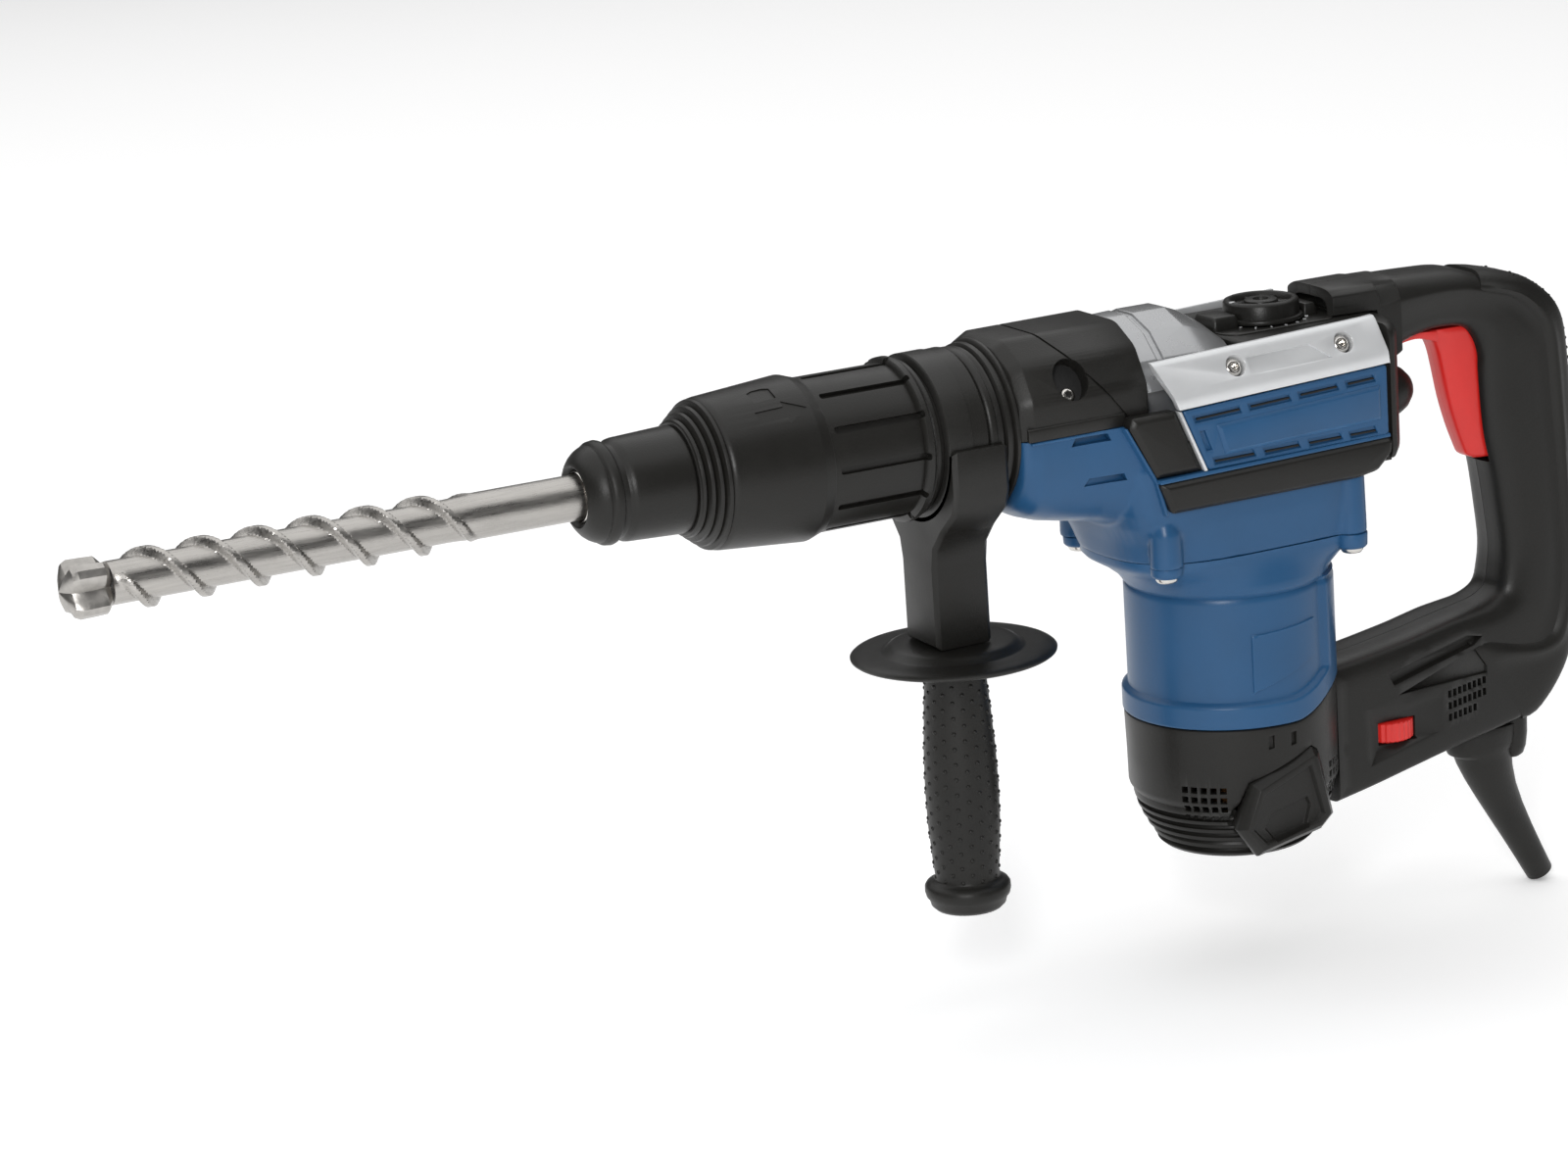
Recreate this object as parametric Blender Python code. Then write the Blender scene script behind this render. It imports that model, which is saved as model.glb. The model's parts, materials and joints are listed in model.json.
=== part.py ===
"""Corded rotary hammer with an 18 mm slotted tool holder, a side handle and a D-shaped rear handle.

The hammer axis runs along X, with the drill bit towards -X and the rear handle towards +X. +Z is up.
The tables below are in millimetres, measured from the front face of the dust cap on the hammer axis.
The object's origin is the centre of the flat underside of the motor end cap."""

import math

import bmesh
import bpy
from mathutils import Vector

MM = 0.001
GAP = 0.3  # clearance between neighbouring pieces

# Overall layout
MOTOR_X = 303.0  # vertical motor axis
BASE_Z = -197.0  # flat underside of the motor end cap
HANDLE_X = 172.6  # vertical axis of the side handle
KNOB_X = 326.5  # vertical axis of the mode selector
REAR_X = 476.7  # rearmost point of the D-handle

# Drill bit and tool holder
BIT_TIP_X, BIT_R, CORE_R, SHANK_R = -197.0, 11.5, 8.4, 9.0
HELIX_LEAD, HELIX_FROM, HELIX_TO = 43.7, -172.0, -30.0
SHANK_END = 88.0
HOLDER_R, HOLDER_BORE_R = 16.0, 9.3
CONE_FROM, CONE_TO = 24.3, 54.2
SLEEVE_FROM, SLEEVE_TO, SLEEVE_R = 54.6, 109.0, 33.5
GUARD_R, GUARD_BORE_R = 31.2, 27.0

# Hammer mechanism
TUBE_R, TUBE_BORE_R = 18.0, 14.3
CRANK_X, CRANK_GEAR_R, CRANK_THROW = 271.0, 25.8, 12.0
PINION_R = 5.8
DRIVE_X, DRIVE_GEAR_R = 238.0, 6.8
BEVEL_R = 25.8

# Housings
BODY_HALF_W, PANEL_HALF_W = 42.7, 46.0
MOTOR_R, MOTOR_BORE_R, CAP_R = 42.5, 39.5, 44.3
HOUSING_SEAM_Z, CAP_SEAM_Z = -64.0, -138.0

# Handles
HANDLE_HALF_W, HANDLE_WALL = 17.0, 3.2
DISC_R, GRIP_R, BEAD_R = 42.3, 15.2, 17.8

for old in list(bpy.data.objects):
    bpy.data.objects.remove(old)

scene = bpy.context.scene
main = bpy.data.collections.new("rotary_hammer")
cutters = bpy.data.collections.new("cutters")
scene.collection.children.link(main)
scene.collection.children.link(cutters)
cutters.hide_render = True

LOOKS = {
    "blue": ((0.02, 0.11, 0.30), 0.45, 0.0),
    "black": ((0.02, 0.02, 0.022), 0.5, 0.0),
    "rubber": ((0.015, 0.015, 0.016), 0.75, 0.0),
    "silver": ((0.45, 0.46, 0.47), 0.35, 0.7),
    "steel": ((0.55, 0.55, 0.56), 0.25, 1.0),
    "carbide": ((0.35, 0.35, 0.36), 0.3, 1.0),
    "alu": ((0.6, 0.6, 0.6), 0.5, 1.0),
    "copper": ((0.6, 0.28, 0.12), 0.4, 1.0),
    "red": ((0.55, 0.01, 0.01), 0.35, 0.0),
    "graphite": ((0.05, 0.05, 0.05), 0.6, 0.2),
}


def place(obj, pivot):
    """Puts the object's origin at its pivot, given in the tables' frame."""
    obj.location = ((pivot[0] - MOTOR_X) * MM, pivot[1] * MM, (pivot[2] - BASE_Z) * MM)


def build(name, shape, look, pivot=(0.0, 0.0, 0.0), cutter=False):
    """Makes one closed mesh object from (points, faces)."""
    points, faces = shape
    mesh = bpy.data.meshes.new(name)
    mesh.from_pydata([[(p[i] - pivot[i]) * MM for i in range(3)] for p in points], [], faces)
    bm = bmesh.new()
    bm.from_mesh(mesh)
    bmesh.ops.remove_doubles(bm, verts=bm.verts, dist=1e-7)
    bmesh.ops.recalc_face_normals(bm, faces=bm.faces)
    bm.to_mesh(mesh)
    bm.free()
    obj = bpy.data.objects.new(name, mesh)
    place(obj, pivot)
    if cutter:
        cutters.objects.link(obj)
        obj.hide_render = True
        obj.display_type = "WIRE"
        return obj
    main.objects.link(obj)
    colour, rough, metal = LOOKS[look]
    material = bpy.data.materials.new(name)
    material.use_nodes = True
    shader = material.node_tree.nodes["Principled BSDF"]
    shader.inputs["Base Color"].default_value = (*colour, 1.0)
    shader.inputs["Roughness"].default_value = rough
    shader.inputs["Metallic"].default_value = metal
    mesh.materials.append(material)
    return obj


def cut(obj, *shapes):
    for shape in shapes:
        tool = build(f"{obj.name}_cut{len(obj.modifiers)}", shape, None, cutter=True)
        modifier = obj.modifiers.new("cut", "BOOLEAN")
        modifier.operation = "DIFFERENCE"
        modifier.solver = "EXACT"
        modifier.object = tool
    return obj


def join(obj, *shapes):
    for shape in shapes:
        tool = build(f"{obj.name}_add{len(obj.modifiers)}", shape, None, cutter=True)
        modifier = obj.modifiers.new("add", "BOOLEAN")
        modifier.operation = "UNION"
        modifier.solver = "EXACT"
        modifier.object = tool
    return obj


def mirrored(shape):
    return [(x, -y, z) for x, y, z in shape[0]], shape[1]


def loft(sections, closed=False):
    """Skins rings of equal count; ends are capped, or joined to each other when closed is set."""
    count = len(sections[0])
    points = [p for section in sections for p in section]
    faces = []
    for s in range(len(sections) - (0 if closed else 1)):
        a, b = s * count, (s + 1) % len(sections) * count
        faces += [(a + i, a + (i + 1) % count, b + (i + 1) % count, b + i) for i in range(count)]
    if not closed:
        last = (len(sections) - 1) * count
        faces += [tuple(range(count)), tuple(range(last + count - 1, last - 1, -1))]
    return points, faces


def lathe(profile, axis="X", centre=(0.0, 0.0, 0.0), steps=24):
    """Turns (along, radius) points about an axis; a profile that doesn't end on the axis is closed on itself."""
    points, rings = [], []
    for along, radius in profile:
        if radius == 0:
            rings.append([len(points)] * steps)
            points.append((along, 0.0, 0.0))
            continue
        rings.append(list(range(len(points), len(points) + steps)))
        for i in range(steps):
            turn = 2 * math.pi * i / steps
            points.append((along, radius * math.cos(turn), radius * math.sin(turn)))
    faces = []
    on_axis = profile[0][1] == 0 and profile[-1][1] == 0
    for a, b in zip(rings, rings[1:] if on_axis else rings[1:] + rings[:1]):
        for i in range(steps):
            j = (i + 1) % steps
            face = list(dict.fromkeys((a[i], a[j], b[j], b[i])))
            if len(face) > 2:
                faces.append(tuple(face))
    cx, cy, cz = centre
    if axis == "X":
        return [(cx + p[0], cy + p[1], cz + p[2]) for p in points], faces
    if axis == "Y":
        return [(cx + p[2], cy + p[0], cz + p[1]) for p in points], faces
    return [(cx + p[1], cy + p[2], cz + p[0]) for p in points], faces


def tube(a, b, outer, inner):
    return [(a, outer), (b, outer), (b, inner), (a, inner)]


def box(x0, x1, y0, y1, z0, z1):
    return loft([[(x, y0, z0), (x, y1, z0), (x, y1, z1), (x, y0, z1)] for x in (x0, x1)])


def area(outline):
    return sum(a[0] * b[1] - b[0] * a[1] for a, b in zip(outline, outline[1:] + outline[:1])) / 2


def inset(outline, by):
    """Moves each edge of a closed 2-D outline inwards, keeping the corner count."""
    side = 1 if area(outline) > 0 else -1
    result = []
    for before, here, after in zip(outline[-1:] + outline[:-1], outline, outline[1:] + outline[:1]):
        first = (Vector(here) - Vector(before)).normalized()
        second = (Vector(after) - Vector(here)).normalized()
        n1, n2 = Vector((-first.y, first.x)) * side, Vector((-second.y, second.x)) * side
        both = (n1 + n2).normalized()
        result.append(tuple(Vector(here) + both * (by / max(0.45, both.dot(n1)))))
    return result


def plate(outline, layers, plane="XZ"):
    """Lofts a 2-D outline through (height, inset) layers, across Y, X or Z by the outline's plane."""
    sections = []
    for height, by in layers:
        ring = inset(outline, by) if by else outline
        if plane == "XZ":
            sections.append([(a, height, b) for a, b in ring])
        elif plane == "YZ":
            sections.append([(height, a, b) for a, b in ring])
        else:
            sections.append([(a, b, height) for a, b in ring])
    return loft(sections)


def arc(radius, start, end, steps, centre=(0.0, 0.0)):
    turns = [math.radians(start + (end - start) * i / steps) for i in range(steps + 1)]
    return [(centre[0] + radius * math.cos(t), centre[1] + radius * math.sin(t)) for t in turns]


def rounded(x0, x1, y0, y1, radius, steps=3):
    corners = ((x1, y1, 0), (x0, y1, 90), (x0, y0, 180), (x1, y0, 270))
    ring = []
    for x, y, turn in corners:
        cx = x - math.copysign(radius, x - (x0 + x1) / 2)
        cy = y - math.copysign(radius, y - (y0 + y1) / 2)
        ring += arc(radius, turn, turn + 90, steps, (cx, cy))
    return ring


def toothed(tip, root, teeth, centre):
    ring = []
    for i in range(teeth):
        for share, radius in ((0.0, root), (0.3, root), (0.42, tip), (0.85, tip)):
            turn = 2 * math.pi * (i + share) / teeth
            ring.append((centre[0] + radius * math.cos(turn), centre[1] + radius * math.sin(turn)))
    return ring


# ---------------------------------------------------------------- drill bit and tool holder
def bit_section(x, turn, lobe):
    """Core circle with two raised ridges, 180 degrees apart."""
    ring = []
    for half in (0, 180):
        for at, radius in ((-24, CORE_R), (-11, lobe), (11, lobe), (24, CORE_R), (70, CORE_R), (116, CORE_R)):
            angle = math.radians(at + half) + turn
            ring.append((x, radius * math.cos(angle), radius * math.sin(angle)))
    return ring


stations = [bit_section(-179.0, 0.0, CORE_R + 0.2)]
count = 39
for i in range(count + 1):
    x = HELIX_FROM + (HELIX_TO - HELIX_FROM) * i / count
    turn = 2 * math.pi * (x - HELIX_FROM) / HELIX_LEAD
    stations.append(bit_section(x, turn, BIT_R if 0 < i < count else CORE_R + 0.2))
last_turn = 2 * math.pi * (HELIX_TO - HELIX_FROM) / HELIX_LEAD
for x, radius in ((-26.0, SHANK_R), (84.0, SHANK_R), (SHANK_END, SHANK_R - 3)):
    ring = bit_section(x, last_turn, 1.0)
    stations.append([(x, radius * math.cos(a), radius * math.sin(a))
                     for a in (math.atan2(p[2], p[1]) for p in ring)])
bit = build("drill_bit", loft(stations), "steel")
cut(bit, box(49, 73, -3.9, 3.9, 6.6, 12), box(49, 73, -3.9, 3.9, -12, -6.6))

cross = []
for quarter in range(4):
    for along, across in ((3.4, -3.4), (12.0, -2.6), (12.0, 2.6)):
        angle = math.radians(45 + 90 * quarter)
        cross.append((along * math.cos(angle) - across * math.sin(angle),
                      along * math.sin(angle) + across * math.cos(angle)))
head = [[(-179.4, y, z) for y, z in cross], [(-190.0, y * 1.03, z * 1.03) for y, z in cross],
        [(-193.0 if math.hypot(y, z) > 8 else -194.6, y, z) for y, z in cross],
        [(-195.0 if math.hypot(y, z) > 8 else -196.6, y * 0.5, z * 0.5) for y, z in cross],
        [(BIT_TIP_X, y * 0.08, z * 0.08) for y, z in cross]]
build("carbide_head", loft(head), "carbide")

build("dust_cap", lathe([(0.0, 12.0), (1.6, 15.6), (5.5, 18.4), (12.0, 19.7), (24.0, 20.4),
                         (24.0, HOLDER_R + GAP), (6.0, HOLDER_R + GAP), (6.0, 10.0), (0.0, 10.0)]), "rubber")
build("chuck_cone", lathe([(CONE_FROM, 18.9), (27.5, 18.9), (29.0, 20.3), (CONE_TO, 21.6),
                           (CONE_TO, HOLDER_R + GAP), (CONE_FROM, HOLDER_R + GAP)]), "black")
sleeve = [(SLEEVE_FROM, 23.0), (57.2, 23.4), (57.2, 25.2), (59.8, 25.6), (59.8, 27.4), (62.4, 27.8),
          (62.4, 29.4), (65.0, 30.3), (104.0, SLEEVE_R), (SLEEVE_TO, 32.3), (SLEEVE_TO, GUARD_R + GAP),
          (88.0, GUARD_R + GAP), (88.0, 24.0), (63.0, 24.0), (63.0, HOLDER_R + GAP),
          (SLEEVE_FROM, HOLDER_R + GAP)]
build("locking_sleeve", lathe(sleeve, steps=28), "black")
holder = build("tool_holder", lathe(tube(6.4, 118.0, HOLDER_R, HOLDER_BORE_R)), "steel")
cut(holder, box(59, 73, -4.2, 4.2, 5, 20), box(59, 73, -4.2, 4.2, -20, -5))
for name, side in (("lock_bar_upper", 1), ("lock_bar_lower", -1)):
    low, high = sorted((side * 7.4, side * 15.8))
    build(name, box(60.5, 72.0, -3.5, 3.5, low, high), "steel")

# ---------------------------------------------------------------- hammer mechanism
build("beat_piece", lathe([(99.5, 0), (99.5, 8.0), (101.0, 8.9), (118.6, 8.9), (120.0, 13.9), (128.0, 13.9),
                           (130.0, 9.0), (136.0, 9.0), (136.0, 0)], steps=16), "steel")
build("striker", lathe([(140.0, 0), (140.0, 10.0), (142.0, 13.9), (170.0, 13.9), (172.0, 12.0), (172.0, 0)],
                       steps=16), "steel")
build("piston", lathe([(196.0, 0), (196.0, 13.9), (228.0, 13.9), (228.0, 9.0), (212.0, 9.0), (212.0, 0)],
                      steps=16), "alu")
build("spindle_tube", lathe(tube(118.3, 219.0, TUBE_R, TUBE_BORE_R)), "steel")
ring = toothed(BEVEL_R, 23.8, 20, (0, 0))
bevel = build("spindle_gear", plate(ring, [(219.3, 0), (227.0, 0), (230.5, 1.2)], "YZ"), "steel")
cut(bevel, lathe([(210, 0), (210, TUBE_BORE_R), (240, TUBE_BORE_R), (240, 0)]))
rod = build("connecting_rod", plate(rounded(215.0, 268.0, -4.5, 4.5, 3.5), [(-3.8, 0), (3.8, 0)], "XY"), "steel")
join(rod, lathe([(-3.8, 0), (-3.8, 9.0), (3.8, 9.0), (3.8, 0)], "Z", (CRANK_X - CRANK_THROW, 0, 0), 16))
cut(rod, lathe([(-9, 0), (-9, 4.6), (9, 4.6), (9, 0)], "Z", (CRANK_X - CRANK_THROW, 0, 0), 12))
crank_gear = plate(toothed(CRANK_GEAR_R, 24.0, 26, (CRANK_X, 0)), [(-36.0, 0), (-29.0, 0)], "XY")
crank = build("crank_gear", crank_gear, "steel", (CRANK_X, 0, -32.5))
disc = [(-30.0, 0), (-30.0, 19.0), (-21.0, 19.0), (-21.0, 0)]
pin = [(-22.0, 0), (-22.0, 4.0), (-4.5, 4.0), (-4.5, 0)]
join(crank, lathe(disc, "Z", (CRANK_X, 0, 0)), lathe(pin, "Z", (CRANK_X - CRANK_THROW, 0, 0), 12))
drive_gear = plate(toothed(DRIVE_GEAR_R, 5.4, 7, (DRIVE_X, 0)), [(-36.0, 0), (-29.0, 0)], "XY")
drive = build("drive_pinion", drive_gear, "steel", (DRIVE_X, 0, -32.5))
join(drive, lathe([(-30.0, 0), (-30.0, 3.4), (-27.0, 3.4), (-26.4, 6.4), (-21.5, 4.6), (-21.5, 0)], "Z",
                  (DRIVE_X, 0, 0), 16))

# ---------------------------------------------------------------- front guard and side handle
guard_profile = [(100.0, GUARD_R), (148.5, GUARD_R), (149.5, 32.2), (155.0, 32.2), (155.0, 29.7),
                 (177.3, 29.7), (177.3, 32.9), (183.8, 32.9), (183.8, 29.9), (190.0, 29.9),
                 (190.0, GUARD_BORE_R), (100.0, GUARD_BORE_R)]
guard = build("guard_tube", lathe(guard_profile, steps=28), "black")
slots = []
for turn in range(0, 360, 60):
    a = math.radians(turn + 15)
    u, v = Vector((math.cos(a), math.sin(a))), Vector((-math.sin(a), math.cos(a)))
    ring = [u * r + v * w for r, w in ((29.6, -1.6), (34, -1.6), (34, 1.6), (29.6, 1.6))]
    slots.append(loft([[(x, p.x, p.y) for p in ring] for x in (112, 146)]))
cut(guard, *slots)
build("front_bearing", lathe(tube(140.0, 152.0, 26.7, TUBE_R + GAP)), "steel")

build("clamp_band", lathe(tube(158.0, 177.0, 32.3, 30.05), steps=28), "black")
outline = ([(-36.0, -1.0), (-36.0, -19.0), (-28.0, -33.0), (-17.0, -45.0), (-13.5, -56.0), (-13.5, -87.0),
            (13.5, -87.0), (13.5, -56.0), (17.0, -45.0), (28.0, -33.0), (36.0, -19.0), (36.0, -1.0)]
           + arc(33.3, -1.5, -178.5, 12))
arm = build("side_handle_arm", plate(outline, [(158.5, 1.0), (160.0, 0), (182.0, 0), (183.5, 1.0)], "YZ"), "black")
cut(arm, lathe([(-95, 0), (-95, 4.3), (-41, 4.3), (-41, 7.2), (-25, 7.2), (-25, 0)], "Z", (171.0, 0, 0), 12))
build("grip_bolt", lathe([(-118, 0), (-118, 4.0), (-40.6, 4.0), (-40.6, 6.8), (-35.0, 6.8), (-35.0, 0)], "Z",
                         (171.0, 0, 0), 12), "steel")
centre = (HANDLE_X, 0, 0)
build("hand_guard", lathe([(-87.3, 19.0), (-89.2, 23.0), (-90.2, 38.0), (-91.5, DISC_R), (-93.0, DISC_R),
                           (-94.5, 36.0), (-96.0, 18.0), (-96.0, 6.5), (-87.3, 6.5)], "Z", centre, 32),
      "black", (HANDLE_X, 0, -91.5))
build("side_grip", lathe([(-96.3, 12.4), (-108, 12.9), (-125, 14.4), (-148, GRIP_R), (-170, 14.8),
                          (-187, 13.2), (-190, 14.0), (-192, BEAD_R), (-200, BEAD_R), (-203.5, 15.5),
                          (-205, 0), (-125, 0), (-125, 6.2), (-96.3, 6.2)], "Z", centre),
      "rubber", (HANDLE_X, 0, -150))

# ---------------------------------------------------------------- gear housings
arch = [(-38, -2), (-38, 14), (-29, 28.5), (-15, 36), (15, 36), (29, 28.5), (38, 14), (38, -2)]
small = [(y * 0.91, z * 0.93 if z > 0 else z) for y, z in arch]
cover = build("gear_cover", loft([[(184.2, y, z) for y, z in small], [(192, y, z) for y, z in arch],
                                  [(247.7, y, z) for y, z in arch]]), "black")
cut(cover, lathe([(170, 0), (170, 30.6), (260, 30.6), (260, 0)], steps=32))
belly = [[(x, y * w, z if z > -5 else -12 + (z + 12) * h if z < -12 else z) for y, z in
          ((-38, -2.3), (-38, -12), (-35, -30), (-25, -44), (25, -44), (35, -30), (38, -12), (38, -2.3))]
         for x, w, h in ((184.2, 0.87, 0.52), (187.0, 0.93, 0.66), (200.0, 1.0, 0.86),
                         (218.0, 1.0, 0.99), (236.5, 1.0, 0.99))]
front = build("front_shell", loft(belly), "blue")
inner = [[(x, y * 0.89, z if z > -5 else z * 0.88) for _, y, z in ring]
         for x, ring in zip((190.0, 192.0, 202.0, 218.0, 240.0), belly)]
inner = [[(x, y, 5.0 if z > -5 else z) for x, y, z in ring] for ring in inner]
cut(front, loft(inner), lathe([(170, 0), (170, 30.6), (260, 30.6), (260, 0)], steps=32))

roof = arc(1.0, 14, 166, 12)
sections, under = [], []
for x, radius, lower in ((248.2, 35.4, 31.0), (276.0, 35.4, 31.0), (286.0, 31.5, 28.0), (296.0, 26.6, 24.0)):
    outer = [(x, 35.4 * y, radius * z if i not in (0, 12) else 8.6) for i, (y, z) in enumerate(roof)]
    inner_ring = [(x, 31.0 * y, lower * z if i not in (0, 12) else 8.6) for i, (y, z) in enumerate(roof)]
    sections.append(outer + inner_ring[::-1])
build("gear_ring", loft(sections), "silver")

case = build("crank_case", box(249.0, 346.0, -29.5, 29.5, -38.0, 16.8), "alu")
cut(case, box(240.0, 343.0, -26.8, 26.8, -50.0, 13.8), box(240.0, 297.0, -40, 40, 8.0, 30.0))
strip = [(-46.0, 2.2), (-46.0, 8.5), (-38.5, 21.3), (-36.4, 21.3), (-36.4, 17.8), (-43.0, 6.0), (-43.0, 2.2)]
shape = loft([[(x + (z - 2.2) * slope, y, z + rise) for y, z in strip]
              for x, rise, slope in ((256.6, 0.0, -0.3), (262.0, 0.4, -0.2), (350.0, 3.6, 0.0), (358.5, 4.0, -0.1))])
build("side_strip_left", shape, "silver")
build("side_strip_right", mirrored(shape), "silver")
panel = [(258.6, 1.4), (357.0, 5.2), (357.0, -24.2), (269.2, -24.6)]
shape = plate(panel, [(-43.2, 0), (-45.2, 0), (-46.0, 0.9)])
build("vent_panel_left", shape, "blue")
build("vent_panel_right", mirrored(shape), "blue")
trim = [(234.0, -2.4), (236.0, 1.6), (256.0, 1.6), (267.6, -24.7), (246.0, -24.7)]
shape = plate(trim, [(-38.5, 0), (-42.0, 0), (-45.4, 2.2)])
build("side_trim_left", shape, "black")
build("side_trim_right", mirrored(shape), "black")
band = [(246.2, -25.1), (262.0, -25.1), (357.0, -24.8), (358.6, -26.0), (358.0, -32.5), (351.0, -38.0),
        (343.0, -40.0), (252.0, -40.0)]
shape = plate(band, [(-43.1, 0), (-46.4, 0), (-47.6, 1.2)])
build("side_band_left", shape, "black")
build("side_band_right", mirrored(shape), "black")
mid_ring = rounded(237.0, 351.0, -BODY_HALF_W, BODY_HALF_W, 12)
middle = build("lower_gear_shell", plate(mid_ring, [(HOUSING_SEAM_Z, 0), (-25.3, 0)], "XY"), "blue")
cut(middle, plate(rounded(240.0, 348.0, -39.5, 39.5, 9), [(-80, 0), (-10, 0)], "XY"),
    box(230.0, 262.0, -39.4, 39.4, -40.5, -10.0))
rear = [(359.1, -45.2), (362.0, -44.6), (368.0, -38.0), (372.0, -25.0),
        (372.0, 25.0), (368.0, 38.0), (362.0, 44.6), (359.1, 45.2)]
rear_cover = build("rear_cover", plate(rear, [(-36.0, 0), (20.0, 0)], "XY"), "black")
join(rear_cover, box(351.6, 360.0, -42.5, 42.5, -36.0, 1.5))
build("rear_dome", lathe([(372.3, 0), (372.3, 11.8), (388.0, 11.4), (395.0, 8.5), (398.5, 4.0), (399.4, 0)],
                         centre=(0, 0, -18.0)), "rubber")
deck_ring = rounded(298.0, 358.6, -35.8, 35.8, 4)
deck = build("top_deck", plate(deck_ring, [(17.2, 0), (20.6, 0), (21.4, 0.8)], "XY"), "black")
join(deck, plate(rounded(299.0, 310.6, -9.0, 9.0, 3), [(19, 0), (28.0, 0.5)], "XY"),
     plate(rounded(342.4, 348.8, -9.0, 9.0, 2.5), [(19, 0), (27.2, 0.5)], "XY"))
cut(deck, lathe([(10, 0), (10, 8.0), (22.5, 8.0), (22.5, 0)], "Z", (KNOB_X, 0, 0), 20))
build("mode_knob", lathe([(17.6, 0), (17.6, 7.6), (21.8, 7.6), (21.8, 14.8), (28.0, 14.6), (29.6, 13.0),
                          (29.6, 7.0), (27.6, 6.0), (27.6, 0)], "Z", (KNOB_X, 0, 0), 28),
      "black", (KNOB_X, 0, 25))

# ---------------------------------------------------------------- motor
motor_axis = (MOTOR_X, 0, 0)
sections = []
for z, blend, radius in ((-64.3, 0.0, 0), (-72.0, 0.05, 0), (-82.0, 1.0, MOTOR_R), (-126.0, 1.0, MOTOR_R),
                         (-129.5, 1.0, 45.4), (CAP_SEAM_Z, 1.0, 45.4)):
    ring = []
    for turn in (2 * math.pi * (i + 0.5) / 32 for i in range(32)):
        c, v = math.cos(turn), math.sin(turn)
        reach = (abs(c / 55.0) ** 6 + abs(v / BODY_HALF_W) ** 6) ** (-1 / 6)
        flange = (295.0 + reach * c, reach * v)
        ring.append((flange[0] + (MOTOR_X + radius * c - flange[0]) * blend,
                     flange[1] + (radius * v - flange[1]) * blend, z))
    sections.append(ring)
motor = build("motor_housing", loft(sections), "blue")
cut(motor, lathe([(-150, 0), (-150, MOTOR_BORE_R), (-50, MOTOR_BORE_R), (-50, 0)], "Z", motor_axis, 32))
cap_profile = [(-138.3, CAP_R), (-170.0, CAP_R), (-180.0, 42.6), (-188.0, 39.0), (-194.0, 34.0), (-197.0, 31.0),
               (-197.0, 0), (-193.5, 0), (-193.5, 11.3), (-183.0, 11.3), (-183.0, 13.6), (-192.0, 15.0),
               (-192.0, 30.0), (-184.0, 38.0), (-170.0, 40.8), (-138.3, 40.8)]
cap = build("motor_end_cap", lathe(cap_profile[6:] + cap_profile[:7], "Z", motor_axis, 32), "black")
hexagon = [(279.5, -180.0), (287.0, -162.0), (315.0, -153.5), (325.0, -164.0), (321.0, -183.0), (288.0, -190.5)]
windows = plate(inset(hexagon, -GAP), [(-60, 0), (-33, 0)])
cut(cap, windows, mirrored(windows))
shape = plate(hexagon, [(-33.6, 3.0), (-40.0, 0), (-45.0, 0), (-46.6, 1.8)])
for name, body in (("brush_cover_left", shape), ("brush_cover_right", mirrored(shape))):
    build(name, body, "black")
    low, high = (-33.0, -13.4) if name.endswith("left") else (13.4, 33.0)
    build(name.replace("cover", "carbon"), box(299, 307, low, high, -176, -166), "graphite")
build("stator", lathe(tube(-136, -86, 38.8, 25.4), "Z", motor_axis), "alu")
armature = build("armature", lathe([(-190, 0), (-190, 4), (-180, 4), (-180, 13), (-161, 13), (-161, 6), (-143, 6),
                                     (-140, 19), (-134, 24.8), (-88, 24.8), (-82, 19), (-80.4, 6), (-80.4, 4),
                                     (-34, 4), (-34, 0)], "Z", motor_axis, 20), "copper", (MOTOR_X, 0, -110))
join(armature, plate(toothed(PINION_R, 4.6, 6, (MOTOR_X, 0)), [(-36.0, 0), (-28.5, 0)], "XY"))
fan = build("motor_fan", plate(toothed(34.0, 18.0, 9, (MOTOR_X, 0)), [(-79.0, 0), (-69.0, 0)], "XY"), "black",
            (MOTOR_X, 0, -74))
cut(fan, lathe([(-90, 0), (-90, 4.3), (-60, 4.3), (-60, 0)], "Z", motor_axis, 16))
build("lower_bearing", lathe(tube(-191.5, -183.0, 11.0, 4.3), "Z", motor_axis, 16), "steel")
build("upper_bearing", lathe(tube(-61.0, -53.0, 13.0, 4.3), "Z", motor_axis, 16), "steel")
build("bearing_bridge", lathe([(-63.0, 38.2), (-56, 38.2), (-52, 16), (-52, 13.3), (-63.0, 13.3)], "Z",
                              motor_axis), "alu")

# ---------------------------------------------------------------- rear handle
back = [(433.0, 29.4), (448.0, 25.5), (458.0, 20.5), (467.0, 12.5), (472.0, 2.0), (474.8, -24.0), (476.0, -60.0),
        (REAR_X, -103.0), (475.0, -130.0), (468.0, -149.0), (459.0, -161.5)]
skin = [(430.0, 26.9), (446.5, 22.9), (456.0, 18.2), (464.8, 10.6), (469.3, 1.4), (472.0, -24.0),
        (473.2, -60.0), (473.9, -103.0), (472.2, -129.5), (465.5, -147.8), (456.6, -159.9)]
top = [(351.0, 22.0), (350.0, 33.2), (382.0, 32.9), (419.0, 31.2), (429.0, 30.1)]
bottom = [(452.0, -166.8), (441.0, -170.8), (426.0, -172.2), (385.0, -180.8), (350.6, -188.4), (350.4, -127.6)]
opening = [(385.0, -123.0), (408.0, -118.6), (425.0, -116.0), (435.0, -111.0), (439.5, -102.0), (439.5, -88.0),
           (437.0, -60.0), (433.0, -46.0), (429.0, -22.0), (426.5, 0.0), (423.0, 5.6), (404.0, 6.0),
           (386.0, 2.0), (374.0, -5.0), (373.2, 20.6)]
loop = top + [(430.2, 26.6)] + skin[1:] + bottom + opening
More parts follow.
